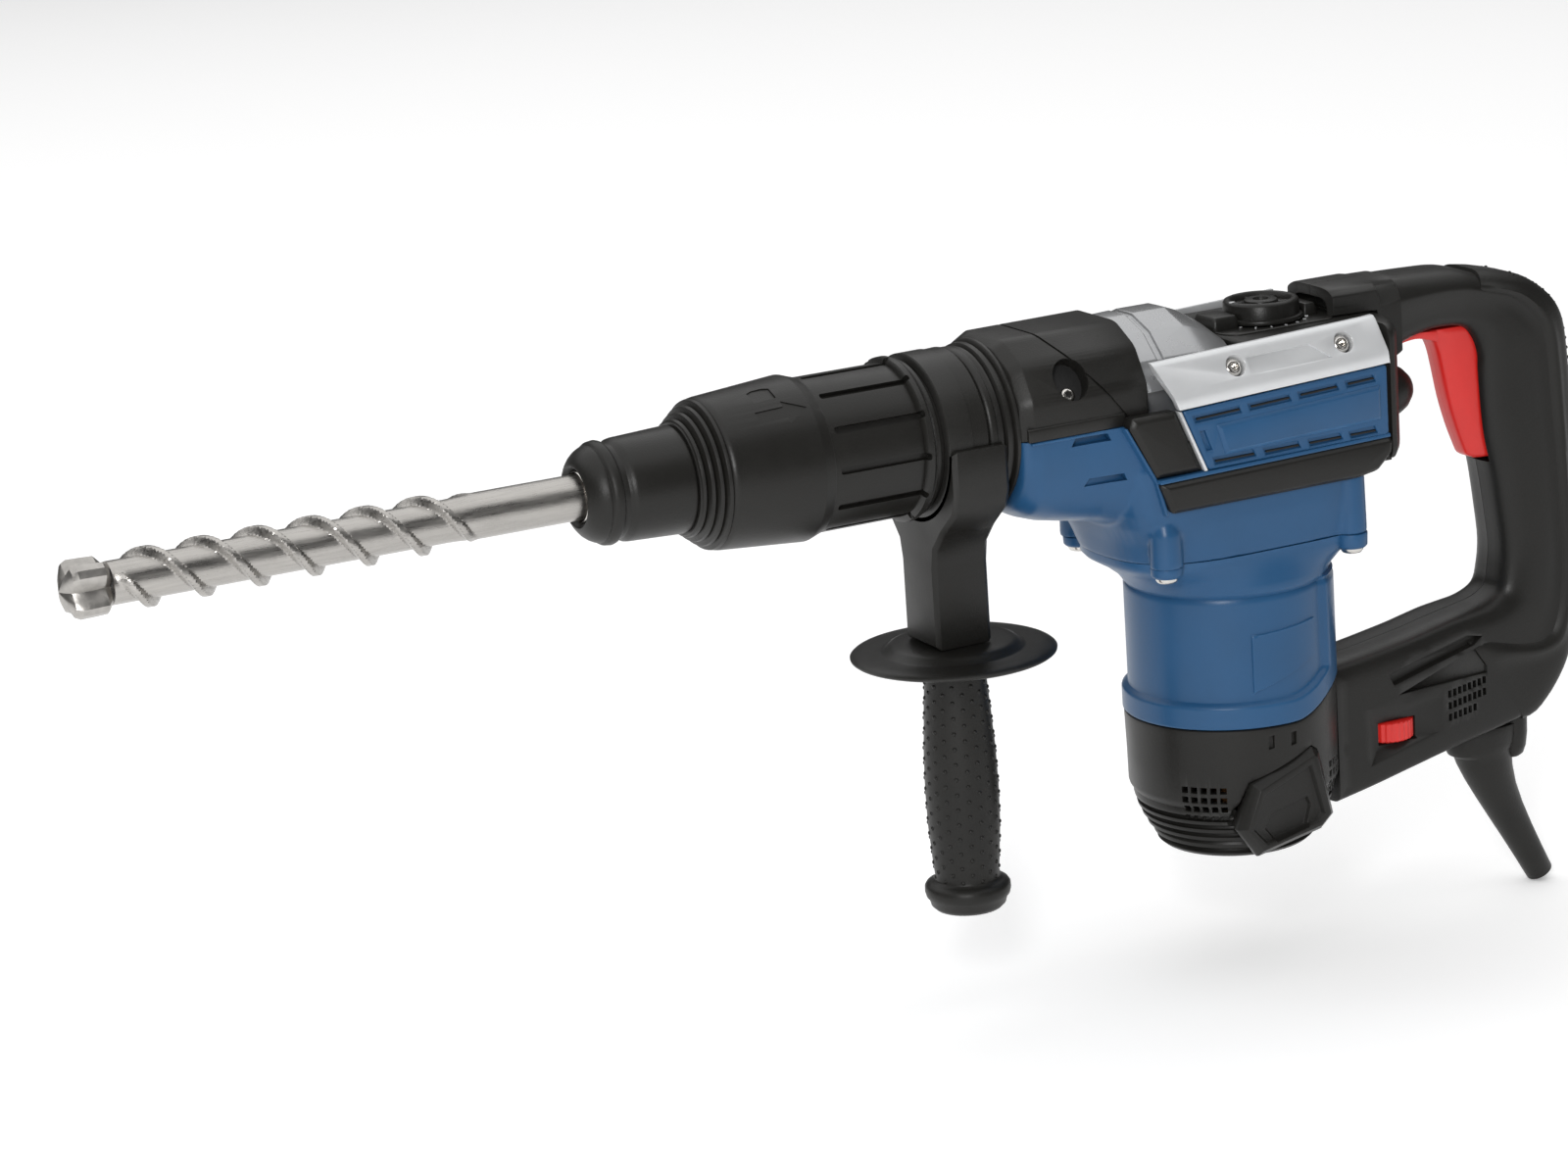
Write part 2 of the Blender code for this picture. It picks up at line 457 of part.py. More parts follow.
shape = plate(loop, [(-0.15, 0), (-10.0, 0), (-14.4, 0.9), (-HANDLE_HALF_W, 3.0)])
hollow = plate(inset(loop, HANDLE_WALL), [(1.0, 0), (-13.2, 0)])
finger_slot = box(420.0, 446.0, -8.5, 8.5, -55.0, 5.2)
for name, body, room in (("handle_shell_left", shape, hollow),
                         ("handle_shell_right", mirrored(shape), mirrored(hollow))):
    shell = build(name, body, "black")
    cut(shell, room, finger_slot)
    if name.endswith("left"):
        cut(shell, box(366.0, 388.0, -20, -10, -168.6, -157.4))
build("soft_grip", plate(back + skin[::-1], [(-13.0, 0.9), (-11.5, GAP), (11.5, GAP), (13.0, 0.9)]), "rubber")
lever = [(408.0, 4.4), (412.0, -14.0), (419.0, -40.0), (423.5, -53.0), (431.0, -54.4), (436.0, -53.0),
         (435.0, -20.0), (434.0, 4.6)]
build("trigger", plate(lever, [(-8.0, 1.6), (-6.0, 0), (6.0, 0), (8.0, 1.6)]), "red", (432.0, 0, 1.0))
build("switch_module", box(446.0, 462.0, -11.0, 11.0, -50.0, -4.0), "black")
build("speed_dial", lathe([(-167.4, 0), (-167.4, 12.6), (-166.6, 13.0), (-159.4, 13.0), (-158.6, 12.6),
                           (-158.6, 0)], "Z", (377.0, -5.3, 0), 24), "red", (377.0, -5.3, -163))
build("control_module", box(396.0, 430.0, -11.5, 11.5, -160.0, -133.0), "black")
sections = []
for x, z, tilt, rx, ry in ((431.0, -175.4, 0, 18.5, 13.5), (430.0, -182.0, 6, 17.0, 13.0),
                           (431.5, -190.0, 14, 12.2, 11.8), (441.0, -214.0, 24, 8.2, 8.0),
                           (459.0, -247.2, 29, 6.0, 6.0)):
    a = math.radians(tilt)
    sections.append([(x + rx * math.cos(t) * math.cos(a), ry * math.sin(t), z + rx * math.cos(t) * math.sin(a))
                     for t in (2 * math.pi * i / 20 for i in range(20))])
boot = build("cable_boot", loft(sections), "rubber")
lip = math.radians(29)
recess = [[(459 + s * math.sin(lip) + 3.9 * math.cos(t) * math.cos(lip), 3.9 * math.sin(t),
            -247.2 - s * math.cos(lip) + 3.9 * math.cos(t) * math.sin(lip))
           for t in (2 * math.pi * i / 12 for i in range(12))] for s in (-3.5, 6.0)]
cut(boot, loft(recess))
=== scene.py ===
import json
from math import asin, atan2, cos, degrees, exp, hypot, pi, radians, sin, sqrt

import bmesh
import bpy
from mathutils import Matrix, Vector


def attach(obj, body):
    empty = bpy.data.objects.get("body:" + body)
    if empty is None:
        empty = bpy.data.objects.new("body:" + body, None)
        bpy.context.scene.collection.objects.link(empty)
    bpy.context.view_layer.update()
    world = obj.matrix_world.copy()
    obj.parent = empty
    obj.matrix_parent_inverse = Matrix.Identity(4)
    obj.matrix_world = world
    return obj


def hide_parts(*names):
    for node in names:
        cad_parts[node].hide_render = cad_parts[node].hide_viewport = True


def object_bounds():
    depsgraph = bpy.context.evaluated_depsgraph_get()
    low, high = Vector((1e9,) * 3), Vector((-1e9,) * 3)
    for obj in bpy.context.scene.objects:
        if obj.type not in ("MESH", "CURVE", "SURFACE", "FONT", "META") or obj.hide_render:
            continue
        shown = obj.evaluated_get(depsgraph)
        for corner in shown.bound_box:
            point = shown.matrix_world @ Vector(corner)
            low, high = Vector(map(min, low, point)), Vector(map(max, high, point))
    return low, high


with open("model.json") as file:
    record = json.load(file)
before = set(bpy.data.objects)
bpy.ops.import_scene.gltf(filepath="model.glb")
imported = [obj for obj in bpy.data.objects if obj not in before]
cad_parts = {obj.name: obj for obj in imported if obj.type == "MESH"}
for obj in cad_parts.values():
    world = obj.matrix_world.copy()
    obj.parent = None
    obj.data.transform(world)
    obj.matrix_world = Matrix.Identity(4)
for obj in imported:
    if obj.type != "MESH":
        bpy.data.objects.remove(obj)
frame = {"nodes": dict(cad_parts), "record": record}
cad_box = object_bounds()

MM = 0.001
# Lengths are in millimetres: x back along the hammer axis, y towards the far side, z up from the hammer axis.
# The frame's origin is the middle of the motor end cap's underside.
MOTOR_X, BASE_Z = 303, -197
HANDLE_X, KNOB_X, BOLT_X = 172.6, 326.5, 171
MOTOR, KNOB = (MOTOR_X, 0, 0), (KNOB_X, 0, 0)


def to_frame(p):
    return ((p[0] - MOTOR_X) * MM, p[1] * MM, (p[2] - BASE_Z) * MM)


# ---- shapes: each is (points, faces)
def turns(steps):
    return [2 * pi * i / steps for i in range(steps)]


def circle(radius, steps):
    return [(radius * cos(t), radius * sin(t)) for t in turns(steps)]


def loft(sections, closed=False):
    """Joins rings of equally many points; closed joins the last to the first in place of end caps."""
    count = len(sections[0])
    points = [tuple(p) for section in sections for p in section]
    faces = []
    for s in range(len(sections) - (0 if closed else 1)):
        a, b = s * count, (s + 1) % len(sections) * count
        faces += [(a + i, a + (i + 1) % count, b + (i + 1) % count, b + i) for i in range(count)]
    if not closed:
        last = (len(sections) - 1) * count
        faces += [tuple(range(count)), tuple(range(last + count - 1, last - 1, -1))]
    return points, faces


def lathe(profile, axis="X", centre=(0, 0, 0), steps=96, wave=None):
    """Turns a profile of (along, radius) about an axis; wave adds to the radius by the turn."""
    points, rings = [], []
    for along, radius in profile:
        if radius == 0:
            rings.append([len(points)] * steps)
            points.append((along, 0, 0))
            continue
        rings.append(list(range(len(points), len(points) + steps)))
        for turn in turns(steps):
            r = radius + (wave(turn) if wave else 0)
            points.append((along, r * cos(turn), r * sin(turn)))
    faces = []
    on_axis = profile[0][1] == 0 and profile[-1][1] == 0
    for a, b in zip(rings, rings[1:] if on_axis else rings[1:] + rings[:1]):
        for i in range(steps):
            j = (i + 1) % steps
            face = list(dict.fromkeys((a[i], a[j], b[j], b[i])))
            if len(face) > 2:
                faces.append(tuple(face))
    cx, cy, cz = centre
    if axis == "X":
        return [(cx + p[0], cy + p[1], cz + p[2]) for p in points], faces
    return [(cx + p[1], cy + p[2], cz + p[0]) for p in points], faces


def area(outline):
    return sum(a[0] * b[1] - b[0] * a[1] for a, b in zip(outline, outline[1:] + outline[:1])) / 2


def inset(outline, by):
    """Moves a closed outline inwards."""
    side = 1 if area(outline) > 0 else -1
    result = []
    for before, here, after in zip(outline[-1:] + outline[:-1], outline, outline[1:] + outline[:1]):
        first = (Vector(here) - Vector(before)).normalized()
        second = (Vector(after) - Vector(here)).normalized()
        n1, n2 = Vector((-first.y, first.x)) * side, Vector((-second.y, second.x)) * side
        both = (n1 + n2).normalized()
        result.append(tuple(Vector(here) + both * (by / max(0.5, both.dot(n1)))))
    return result


def symmetric(half):
    """Adds the mirror image of a line of (y, z), to close it."""
    return half + [(-y, z) for y, z in half[::-1]]


def fillet(outline, radius, steps=4):
    """Rounds every corner of a closed outline by an arc that leaves its edges `radius` from the corner."""
    ring = []
    for before, here, after in zip(outline[-1:] + outline[:-1], outline, outline[1:] + outline[:1]):
        b, h, a = Vector(before), Vector(here), Vector(after)
        r = radius if not isinstance(radius, dict) else radius.get(here, radius[None])
        r1 = min(r, (b - h).length * 0.45)
        r2 = min(r, (a - h).length * 0.45)
        p, q = h + (b - h).normalized() * r1, h + (a - h).normalized() * r2
        for i in range(steps + 1):
            t = i / steps
            ring.append(tuple(p * (1 - t) ** 2 + h * 2 * t * (1 - t) + q * t ** 2))
    return ring


def plate(outline, layers, plane="XZ", radius=None, steps=3):
    """Stacks an outline by (height, inset) layers; radius rounds its corners after each inset."""
    sections = []
    for height, by in layers:
        ring = inset(outline, by) if by else outline
        if radius:
            ring = fillet(ring, max(0.15, radius - by * 0.4), steps)
        if plane == "XZ":
            sections.append([(a, height, b) for a, b in ring])
        elif plane == "YZ":
            sections.append([(height, a, b) for a, b in ring])
        else:
            sections.append([(a, b, height) for a, b in ring])
    return loft(sections)


def arc(radius, start, end, steps, centre=(0, 0)):
    turns = [radians(start + (end - start) * i / steps) for i in range(steps + 1)]
    return [(centre[0] + radius * cos(t), centre[1] + radius * sin(t)) for t in turns]


def bar(outline, stations):
    """Runs an outline of (y, z) along X through the stations."""
    return loft([[(x, y, z) for y, z in outline] for x in stations])


def box(x0, x1, y0, y1, z0, z1):
    return bar([(y0, z0), (y1, z0), (y1, z1), (y0, z1)], (x0, x1))


def rounded(x0, x1, y0, y1, radius, steps=6):
    return fillet([(x1, y0), (x1, y1), (x0, y1), (x0, y0)], radius, steps)


def mirrored(shape):
    return [(x, -y, z) for x, y, z in shape[0]], shape[1]


def merged(*shapes):
    points, faces = [], []
    for p, f in shapes:
        offset = len(points)
        points += list(p)
        faces += [tuple(i + offset for i in face) for face in f]
    return points, faces


def moved(shape, matrix):
    return [tuple(matrix @ Vector(p)) for p in shape[0]], shape[1]


def frame_at(origin, normal, along):
    """A matrix whose Z runs along normal and whose X runs as near along as it can."""
    z = Vector(normal).normalized()
    y = z.cross(Vector(along)).normalized()
    x = y.cross(z)
    return Matrix.Translation(origin) @ Matrix((x, y, z)).transposed().to_4x4()


def screw_head(origin, normal, radius, height, along=(0, 0, 1)):
    """A domed head with a six-lobed drive recess, its base at origin."""
    dome_rows = ((-0.6, 1), (height * 0.45, 1), (height * 0.85, 0.86), (height, 0.62))
    rings = [[(a, b, up) for a, b in circle(radius * share, 36)] for up, share in dome_rows]
    for up, share in ((height, 0.46), (height * 0.2, 0.42)):
        lobes = [(t, (share + 0.07 * cos(6 * t)) * radius) for t in turns(36)]
        rings.append([(r * cos(t), r * sin(t), up) for t, r in lobes])
    return moved(loft(rings), frame_at(origin, normal, along))


def node_material(name, colour, rough, metallic=0, grain=900, bump=0.05, vary=0.12, rough_vary=0.1,
        stretch=(1, 1, 1), specular=0.5, wear=0, wear_colour=(0.5, 0.5, 0.5), coarse=30):
    """A plastic or metal with a fine relief, a broad mottle and, with wear, paler edges."""
    material = bpy.data.materials.new(name)
    material.use_nodes = True
    nodes, links = material.node_tree.nodes, material.node_tree.links

    def node(kind, **values):
        made = nodes.new("ShaderNode" + kind)
        for key, value in values.items():
            made.inputs[key.replace("_", " ")].default_value = value
        return made

    def join(source, output, target, entry):
        links.new(source.outputs[output], target.inputs[entry])

    shader = nodes["Principled BSDF"]
    for key, value in (("Metallic", metallic), ("Coat Roughness", 0.25), ("Specular IOR Level", specular)):
        shader.inputs[key].default_value = value
    mapping = node("Mapping", Scale=stretch)
    join(node("TexCoord"), "Object", mapping, "Vector")
    fine = node("TexNoise", Scale=grain, Detail=4)
    broad = node("TexNoise", Scale=coarse, Detail=6, Roughness=0.6)
    for noise in (fine, broad):
        join(mapping, "Vector", noise, "Vector")
    ramp = node("ValToRGB")
    for stop, place, tint in zip(ramp.color_ramp.elements, (0.3, 0.7), (1 - vary, 1 + vary)):
        stop.position = place
        stop.color = (*[min(1, c * tint) for c in colour], 1)
    join(broad, "Fac", ramp, "Fac")
    tone = ramp.outputs["Color"]
    if wear:
        edge = node("MapRange", From_Min=0.53, From_Max=0.62)
        join(node("NewGeometry"), "Pointiness", edge, "Value")
        patchy, amount = node("Math"), node("Math")
        patchy.operation = amount.operation = "MULTIPLY"
        join(edge, "Result", patchy, 0)
        join(broad, "Fac", patchy, 1)
        join(patchy, "Value", amount, 0)
        amount.inputs[1].default_value = wear
        mix = nodes.new("ShaderNodeMix")
        mix.data_type = "RGBA"
        join(amount, "Value", mix, "Factor")
        links.new(tone, mix.inputs["A"])
        mix.inputs["B"].default_value = (*wear_colour, 1)
        tone = mix.outputs["Result"]
    links.new(tone, shader.inputs["Base Color"])
    gloss = node("MapRange", From_Min=0.3, From_Max=0.7, To_Min=max(0.03, rough - rough_vary / 2),
        To_Max=min(1, rough + rough_vary / 2))
    join(broad, "Fac", gloss, "Value")
    join(gloss, "Result", shader, "Roughness")
    relief = node("Bump", Strength=bump, Distance=0.0002)
    join(fine, "Fac", relief, "Height")
    join(relief, "Normal", shader, "Normal")
    return material


BLUE = node_material("blue_moulding", (0.0175, 0.078, 0.182), 0.34, grain=1500, bump=0.22,
    vary=0.06, specular=0.32, wear=0.35, wear_colour=(0.1, 0.26, 0.5))
BLACK = node_material("black_moulding", (0.0105, 0.01, 0.0088), 0.38, grain=1300, bump=0.35,
    vary=0.15, specular=0.3, wear=0.3, wear_colour=(0.09, 0.09, 0.088))
DEEP = node_material("recess_moulding", (0.012, 0.012, 0.012), 0.62, grain=1300, bump=0.2,
    specular=0.4)
RUBBER = node_material("soft_overmould", (0.011, 0.0105, 0.0092), 0.44, grain=1100, bump=0.4,
    vary=0.2, specular=0.3)
# One silver paint in two copies: this lighter copy carries painted light for the brightly lit strips, and the
# darker copy below carries painted shade on the gear ring.
SILVER = node_material("silver_paint", (0.66, 0.67, 0.68), 0.34, metallic=0.4, grain=2200,
    bump=0.12, vary=0.05, wear=0.3, wear_colour=(0.75, 0.75, 0.76))
# Darker copy of the silver paint: painted shade on the gear ring.
RING_SHADED_SILVER = node_material("ring_silver_painted_shade", (0.36, 0.365, 0.372), 0.28, metallic=0.7, grain=2200,
    bump=0.12, vary=0.06)
STEEL = node_material("bit_steel", (0.4, 0.385, 0.365), 0.3, metallic=1, grain=420, bump=0.25,
    vary=0.12, stretch=(1, 14, 14), coarse=60, rough_vary=0.16)
CARBIDE = node_material("sintered_carbide", (0.4, 0.385, 0.365), 0.36, metallic=1, grain=700,
    bump=0.35, vary=0.25, coarse=120)
CHROME = node_material("screw_steel", (0.62, 0.6, 0.57), 0.2, metallic=1, grain=900, bump=0.1,
    vary=0.1, coarse=200)
ALLOY = node_material("cast_alloy", (0.55, 0.55, 0.55), 0.5, metallic=1, grain=800,
    bump=0.5)
RED = node_material("red_moulding", (0.66, 0.018, 0.014), 0.34, grain=1400, bump=0.15,
    vary=0.08, specular=0.5)
COPPER = node_material("wound_copper", (0.5, 0.24, 0.1), 0.4, metallic=1, grain=600, bump=0.5,
    stretch=(1, 1, 6))
GRAPHITE = node_material("pressed_graphite", (0.04, 0.04, 0.04), 0.6, grain=1200, bump=0.3)


# ---- making pieces
def raw_object(name, shape):
    mesh = bpy.data.meshes.new(name)
    mesh.from_pydata([to_frame(p) for p in shape[0]], [], shape[1])
    bm = bmesh.new()
    bm.from_mesh(mesh)
    bmesh.ops.remove_doubles(bm, verts=bm.verts, dist=2e-6)
    bmesh.ops.recalc_face_normals(bm, faces=bm.faces)
    bm.to_mesh(mesh)
    bm.free()
    obj = bpy.data.objects.new(name, mesh)
    bpy.context.scene.collection.objects.link(obj)
    return obj


def modify(obj, kind, **settings):
    modifier = obj.modifiers.new(kind, kind)
    for key, value in settings.items():
        setattr(modifier, key, value)


def bake(obj):
    """Applies every modifier."""
    graph = bpy.context.evaluated_depsgraph_get()
    mesh = bpy.data.meshes.new_from_object(obj.evaluated_get(graph), depsgraph=graph)
    obj.modifiers.clear()
    old = obj.data
    obj.data = mesh
    bpy.data.meshes.remove(old)


def add(name, shape, look, nodes=(), body="housing", slot=None, cuts=(), adds=(), bevel=0.35, angle=32,
        sharp=42, blend=None):
    """blend = (voxel mm, smoothing rounds) melts the shape and its adds into one surface before the cuts."""
    obj = raw_object(name, shape)
    for kind, shapes in (("UNION", adds), ("DIFFERENCE", cuts)):
        tools = [raw_object(name + "_tool", group) for group in shapes]
        for tool in tools:
            modify(obj, "BOOLEAN", operation=kind, solver="EXACT", object=tool)
        if tools:
            bake(obj)
            for tool in tools:
                bpy.data.objects.remove(tool)
        if kind == "UNION" and blend:
            modify(obj, "REMESH", mode="VOXEL", voxel_size=blend[0] * MM)
            modify(obj, "SMOOTH", factor=0.5, iterations=blend[1])
            bake(obj)
    if bevel:
        modify(obj, "BEVEL", width=bevel * MM, segments=2, limit_method="ANGLE", angle_limit=radians(angle),
            use_clamp_overlap=True)
        bake(obj)
    mesh = obj.data
    bm = bmesh.new()
    bm.from_mesh(mesh)
    bmesh.ops.remove_doubles(bm, verts=bm.verts, dist=1e-6)
    bmesh.ops.dissolve_degenerate(bm, edges=bm.edges, dist=1e-6)
    bmesh.ops.delete(bm, geom=[e for e in bm.edges if not e.link_faces], context="EDGES")
    bmesh.ops.holes_fill(bm, edges=[e for e in bm.edges if len(e.link_faces) == 1], sides=0)
    for face in bm.faces:
        face.smooth = True
    for edge in bm.edges:
        edge.smooth = len(edge.link_faces) != 2 or edge.calc_face_angle(0) < radians(sharp)
    bm.to_mesh(mesh)
    bm.free()
    mesh.materials.clear()
    mesh.materials.append(look)
    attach(obj, body)
    if nodes:
        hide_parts(*([nodes] if isinstance(nodes, str) else nodes))


def both(name, shape, look, nodes=(), body="housing", **more):
    """A left piece and its mirror image on the right."""
    for side in ("left", "right"):
        flip = (lambda s: s) if side == "left" else mirrored
        extra = dict(more)
        for key in ("cuts", "adds"):
            if key in extra:
                extra[key] = [flip(s) for s in extra[key]]
        add(f"{name}_{side}", flip(shape), look, [f"{n}_{side}" for n in nodes], body, **extra)


# ---- drill bit
LEAD, CORE, RIDGE = 43.7, 8.3, 11.45  # the flute's pitch and its two radii


def smooth_step(low, high, value):
    t = min(1, max(0, (value - low) / (high - low)))
    return t * t * (3 - 2 * t)


sections = []
STATION_COUNT = 190
for i in range(STATION_COUNT + 1):
    x = -178 + 150 * i / STATION_COUNT
    fade = smooth_step(-178, -170, x) * (1 - smooth_step(-42, -30, x))
    ring = []
    core = CORE + (9 - CORE) * smooth_step(-44, -28, x)
    for turn in turns(96):
        lobe = degrees(turn - 2 * pi * (x + 172) / LEAD) % 180
        steep = lobe > 90
        rise = 1 - smooth_step(9 if steep else 12, 20 if steep else 27, 180 - lobe if steep else lobe)
        r = core + (RIDGE - core) * rise * fade
        ring.append((x, r * cos(turn), r * sin(turn)))
    sections.append(ring)
for x, r in ((-26, 9), (0, 9), (60, 9), (84, 9), (88, 6.5)):
    sections.append([(x, a, b) for a, b in circle(r, 96)])
add("bit_body", loft(sections), STEEL, "drill_bit", "bit", bevel=0, sharp=30,
    cuts=[box(49, 73, -3.9, 3.9, 6.6, 12), box(49, 73, -3.9, 3.9, -12, -6.6)])
wing = []
for quarter in range(4):
    turn = radians(45 + 90 * quarter)
    for along, across in ((4.6, -4.6), (8.6, -3.9), (11.4, -3), (12.2, 0), (11.4, 3), (8.6, 3.9)):
        wing.append((along * cos(turn) - across * sin(turn), along * sin(turn) + across * cos(turn)))
head = []
for x, scale, arm in ((-178.6, 0.72, 0.7), (-181, 0.86, 0.97), (-186, 1, 0.99), (-191.5, 1, 1),
        (-193.6, 0.86, 0.9), (-195.4, 0.5, 0.55), (-196.9, 0.06, 0.06)):
    head.append([(x, y * k, z * k) for y, z, k in ((y, z, arm if hypot(y, z) > 9 else scale) for y,
        z in wing)])
add("bit_head", loft(head), CARBIDE, "carbide_head", "bit", bevel=0.25, sharp=25)

# ---- tool holder front
add("nose_cap", lathe([(11, 12.2), (11.4, 13.4), (12.4, 15), (13.8, 16.6), (15.6, 18), (17.4, 18.9),
    (18.4, 19.2), (18.9, 19), (19.4, 19.9), (20.2, 20.4), (22.4, 20.7), (23.4, 20.4), (24, 19.8), (24, 16.3),
    (16.5, 16.3), (16.5, 10.6), (13.6, 10.3), (12, 11.2)]), RUBBER, "dust_cap", "chuck", bevel=0.15)
add("nose_ring", lathe([(12.9, 9.5), (12.2, 9.8), (12.5, 10.1), (15, 10.2), (16.2, 10.2), (16.2, 9.5)]),
    CHROME, body="chuck", bevel=0)
add("holder_body", lathe([(17.2, 15.4), (17.8, 16), (117.4, 16), (118, 15.4), (118, 9.5), (17.2, 9.5)]),
    ALLOY, "tool_holder", "chuck", slot="tool_steel", bevel=0, cuts=[box(59, 73, -4.2, 4.2, 5, 20),
    box(59, 73, -4.2, 4.2, -20, -5)])
add("nose_cone", lathe([(24.3, 18.9), (26.6, 18.9), (27.6, 19.6), (28.6, 20.25), (30, 20.5), (53, 21.5),
    (54, 21.3), (54.2, 20.6), (54.2, 16.3), (24.3, 16.3)]), BLACK, "chuck_cone", "chuck", bevel=0.15)
steps_profile = [(54.6, 22.2)]
for x, r in ((55, 23.4), (57.8, 25.6), (60.6, 27.8), (63.4, 29.9)):
    steps_profile += [(x, r - 0.9), (x + 0.25, r - 0.2), (x + 0.8, r), (x + 1.5, r + 0.15),
        (x + 1.9, r - 0.2), (x + 2.1, r - 1.3)]
steps_profile[-1] = (65.6, 29.6)
steps_profile += [(66.3, 30.3), (68, 30.6), (103.6, 33.5), (104.2, 33.4), (108.4, 31.95), (109, 31.8),
    (109, 31.5), (88, 31.5), (88, 24), (63, 24), (63, 16.3), (54.6, 16.3)]


def on_barrel(degrees):
    """The unit direction out of the hammer axis; 0 degrees faces -Y and 90 faces up."""
    a = radians(degrees)
    return Vector((0, -cos(a), sin(a)))


def radial_prism(outline, degrees, inner, outer):
    """Stands a flat outline of (x, across) on the barrel; inner may be a function of x."""
    out = on_barrel(degrees)
    across = Vector((0, sin(radians(degrees)), cos(radians(degrees))))
    depth = inner if callable(inner) else (lambda x: inner)
    return loft([[Vector((x, 0, 0)) + out * sqrt(depth(x) ** 2 - w * w) + across * w for x, w in outline],
        [Vector((x, 0, 0)) + out * outer + across * w for x, w in outline]])


def under_sleeve(x):
    return 30.6 + (x - 68) * 2.9 / 35.6 - 0.42


arrow = [(81.5, -2.7), (93.5, -2.7), (93.5, -5.6), (102.5, 0), (93.5, 5.6), (93.5, 2.7), (81.5, 2.7)]
padlock = [(83.5, -4), (93, -4), (93, 3), (90.5, 4.2), (86, 4.2), (83.5, 3)]
add("sleeve_body", lathe(steps_profile, steps=128), BLACK, "locking_sleeve", "sleeve", bevel=0,
    cuts=[radial_prism(arrow, a, under_sleeve, 36) for a in (48, 228)]
    + [radial_prism(padlock, a, under_sleeve, 36) for a in (69, 249)])
guard_profile = [(100, 31), (101, 31.2), (147, 31.2), (148.6, 31), (149, 32.4), (149.8, 33.4), (151.9, 33.5),
    (152.6, 32.6), (153.4, 31.5), (154, 32), (155.4, 31.9), (155.9, 31.2), (156.2, 29.7), (177.3, 29.7),
    (177.3, 31.6), (178, 32.5), (179, 32.9), (180.6, 32.9), (181.2, 32.2), (181.8, 32.2), (182.4, 32.6),
    (183.6, 32.5), (184, 31.8), (184, 29.9), (190, 29.9), (190, 27), (100, 27)]
slots = [radial_prism(rounded(111.4, 150.6, -1.45, 1.45, 1.2, 4), 28 + 30 * k, 29.3, 36) for k in range(12)]
add("guard_body", lathe(guard_profile, steps=144), BLACK, "guard_tube", bevel=0, cuts=slots)

# ---- side handle
add("clamp_ring", lathe([(158, 30.1), (158, 32.6), (158.8, 33.5), (169, 33.6), (169.3, 33.1), (176, 33.4),
    (176.9, 32.6), (176.9, 30.1)], steps=128), BLACK, "clamp_band", "side_bracket", bevel=0)
arm_side = [(-36, -1), (-36, -19.5), (-33, -27.5), (-22, -37), (-15, -45), (-13.5, -53), (-13.5, -86.9)]
arm_outline = symmetric(arm_side) + arc(33.3, -1.5, -178.5, 40)
arm_cuts = [lathe([(-95, 0), (-95, 4.3), (-41, 4.3), (-41, 7.2), (-25, 7.2), (-25, 0)], "Z", (BOLT_X, 0, 0),
    24)]
add("arm_body", plate(arm_outline, [(158.4, 1.6), (160.2, 0), (181.8, 0), (183.5, 1.3)], "YZ"), BLACK,
    "side_handle_arm", "side_bracket", cuts=arm_cuts, bevel=0.5)
add("arm_bolt", lathe([(-118, 0), (-118, 4), (-40.6, 4), (-40.6, 6.8), (-35, 6.8), (-35, 0)], "Z",
    (BOLT_X, 0, 0), 24), CHROME, "grip_bolt", "side_bracket", bevel=0.2)
side_axis = (HANDLE_X, 0, 0)
add("guard_disc", lathe([(-87.3, 15.5), (-87.4, 24.5), (-88.2, 26.5), (-90.2, 28.6), (-90.4, 30), (-90.6, 36),
    (-90.9, 40), (-91.4, 41.6), (-92, 42.3), (-92.7, 42.2), (-93.3, 41.4), (-94, 38), (-95.2, 20), (-96, 17),
    (-96, 6.5), (-87.3, 6.5)], "Z", side_axis, 128), BLACK, "hand_guard", "side_handle", bevel=0)


def grip_radius(z):
    table = ((-96.3, 12.5), (-105, 12.9), (-120, 13.9), (-135, 14.8), (-150, 15.15), (-165, 14.9), (-178, 14),
        (-188.6, 13.1))
    for (z0, r0), (z1, r1) in zip(table, table[1:]):
        if z >= z1:
            t = smooth_step(0, 1, (z0 - z) / (z0 - z1)) * 0.4 + 0.6 * (z0 - z) / (z0 - z1)
            return r0 + (r1 - r0) * t
    return 13.1


profile = [(-125, 0), (-125, 6.2), (-96.3, 6.2)]
profile += [(z, grip_radius(z)) for z in [-96.3 - 2.3 * i for i in range(41)]]
profile += [(-188.9, 13.5), (-189.6, 15.2), (-190.4, 16.9), (-191.6, 17.7), (-193.8, 17.8), (-195.8, 17.3),
    (-196.6, 16.3), (-199.6, 15.5), (-201.2, 13.9), (-202, 10), (-202, 0)]


def dome(origin, normal, radius, height, steps=10):
    rings = [[(a, b, -0.4) for a, b in circle(radius * 1.1, steps)]]
    for tilt in (0, 0.35 * pi / 2, 0.7 * pi / 2, 0.92 * pi / 2):
        rings.append([(a, b, height * sin(tilt)) for a, b in circle(radius * cos(tilt), steps)])
    return moved(loft(rings), frame_at(origin, normal, (0.01, 0.02, 1)))


add("grip_body", lathe(profile, "Z", side_axis, 96), RUBBER, "side_grip", "side_handle", bevel=0)
bumps = []
for column, turn in enumerate(turns(20)):
    for row in range(14):
        z = -101 - 6.4 * row - (3.2 if column % 2 else 0)
        r = grip_radius(z) - 0.05
        out = Vector((cos(turn), sin(turn), 0))
        bumps.append(dome(Vector((HANDLE_X, 0, z)) + out * r, out, 0.95, 0.62))
add("grip_dots", merged(*bumps), RUBBER, body="side_handle", bevel=0)

# ---- front gear housing
arch = fillet(symmetric([(-38, -2), (-38, 13.5), (-29.5, 28), (-15, 36)]), {(-38, -2): 0.4, (38, -2): 0.4,
    None: 3}, 4)


def arch_at(x, wide, high, lean=0):
    return [(x + (36 - z) * lean, y * wide, z * high if z > 0 else z) for y, z in arch]


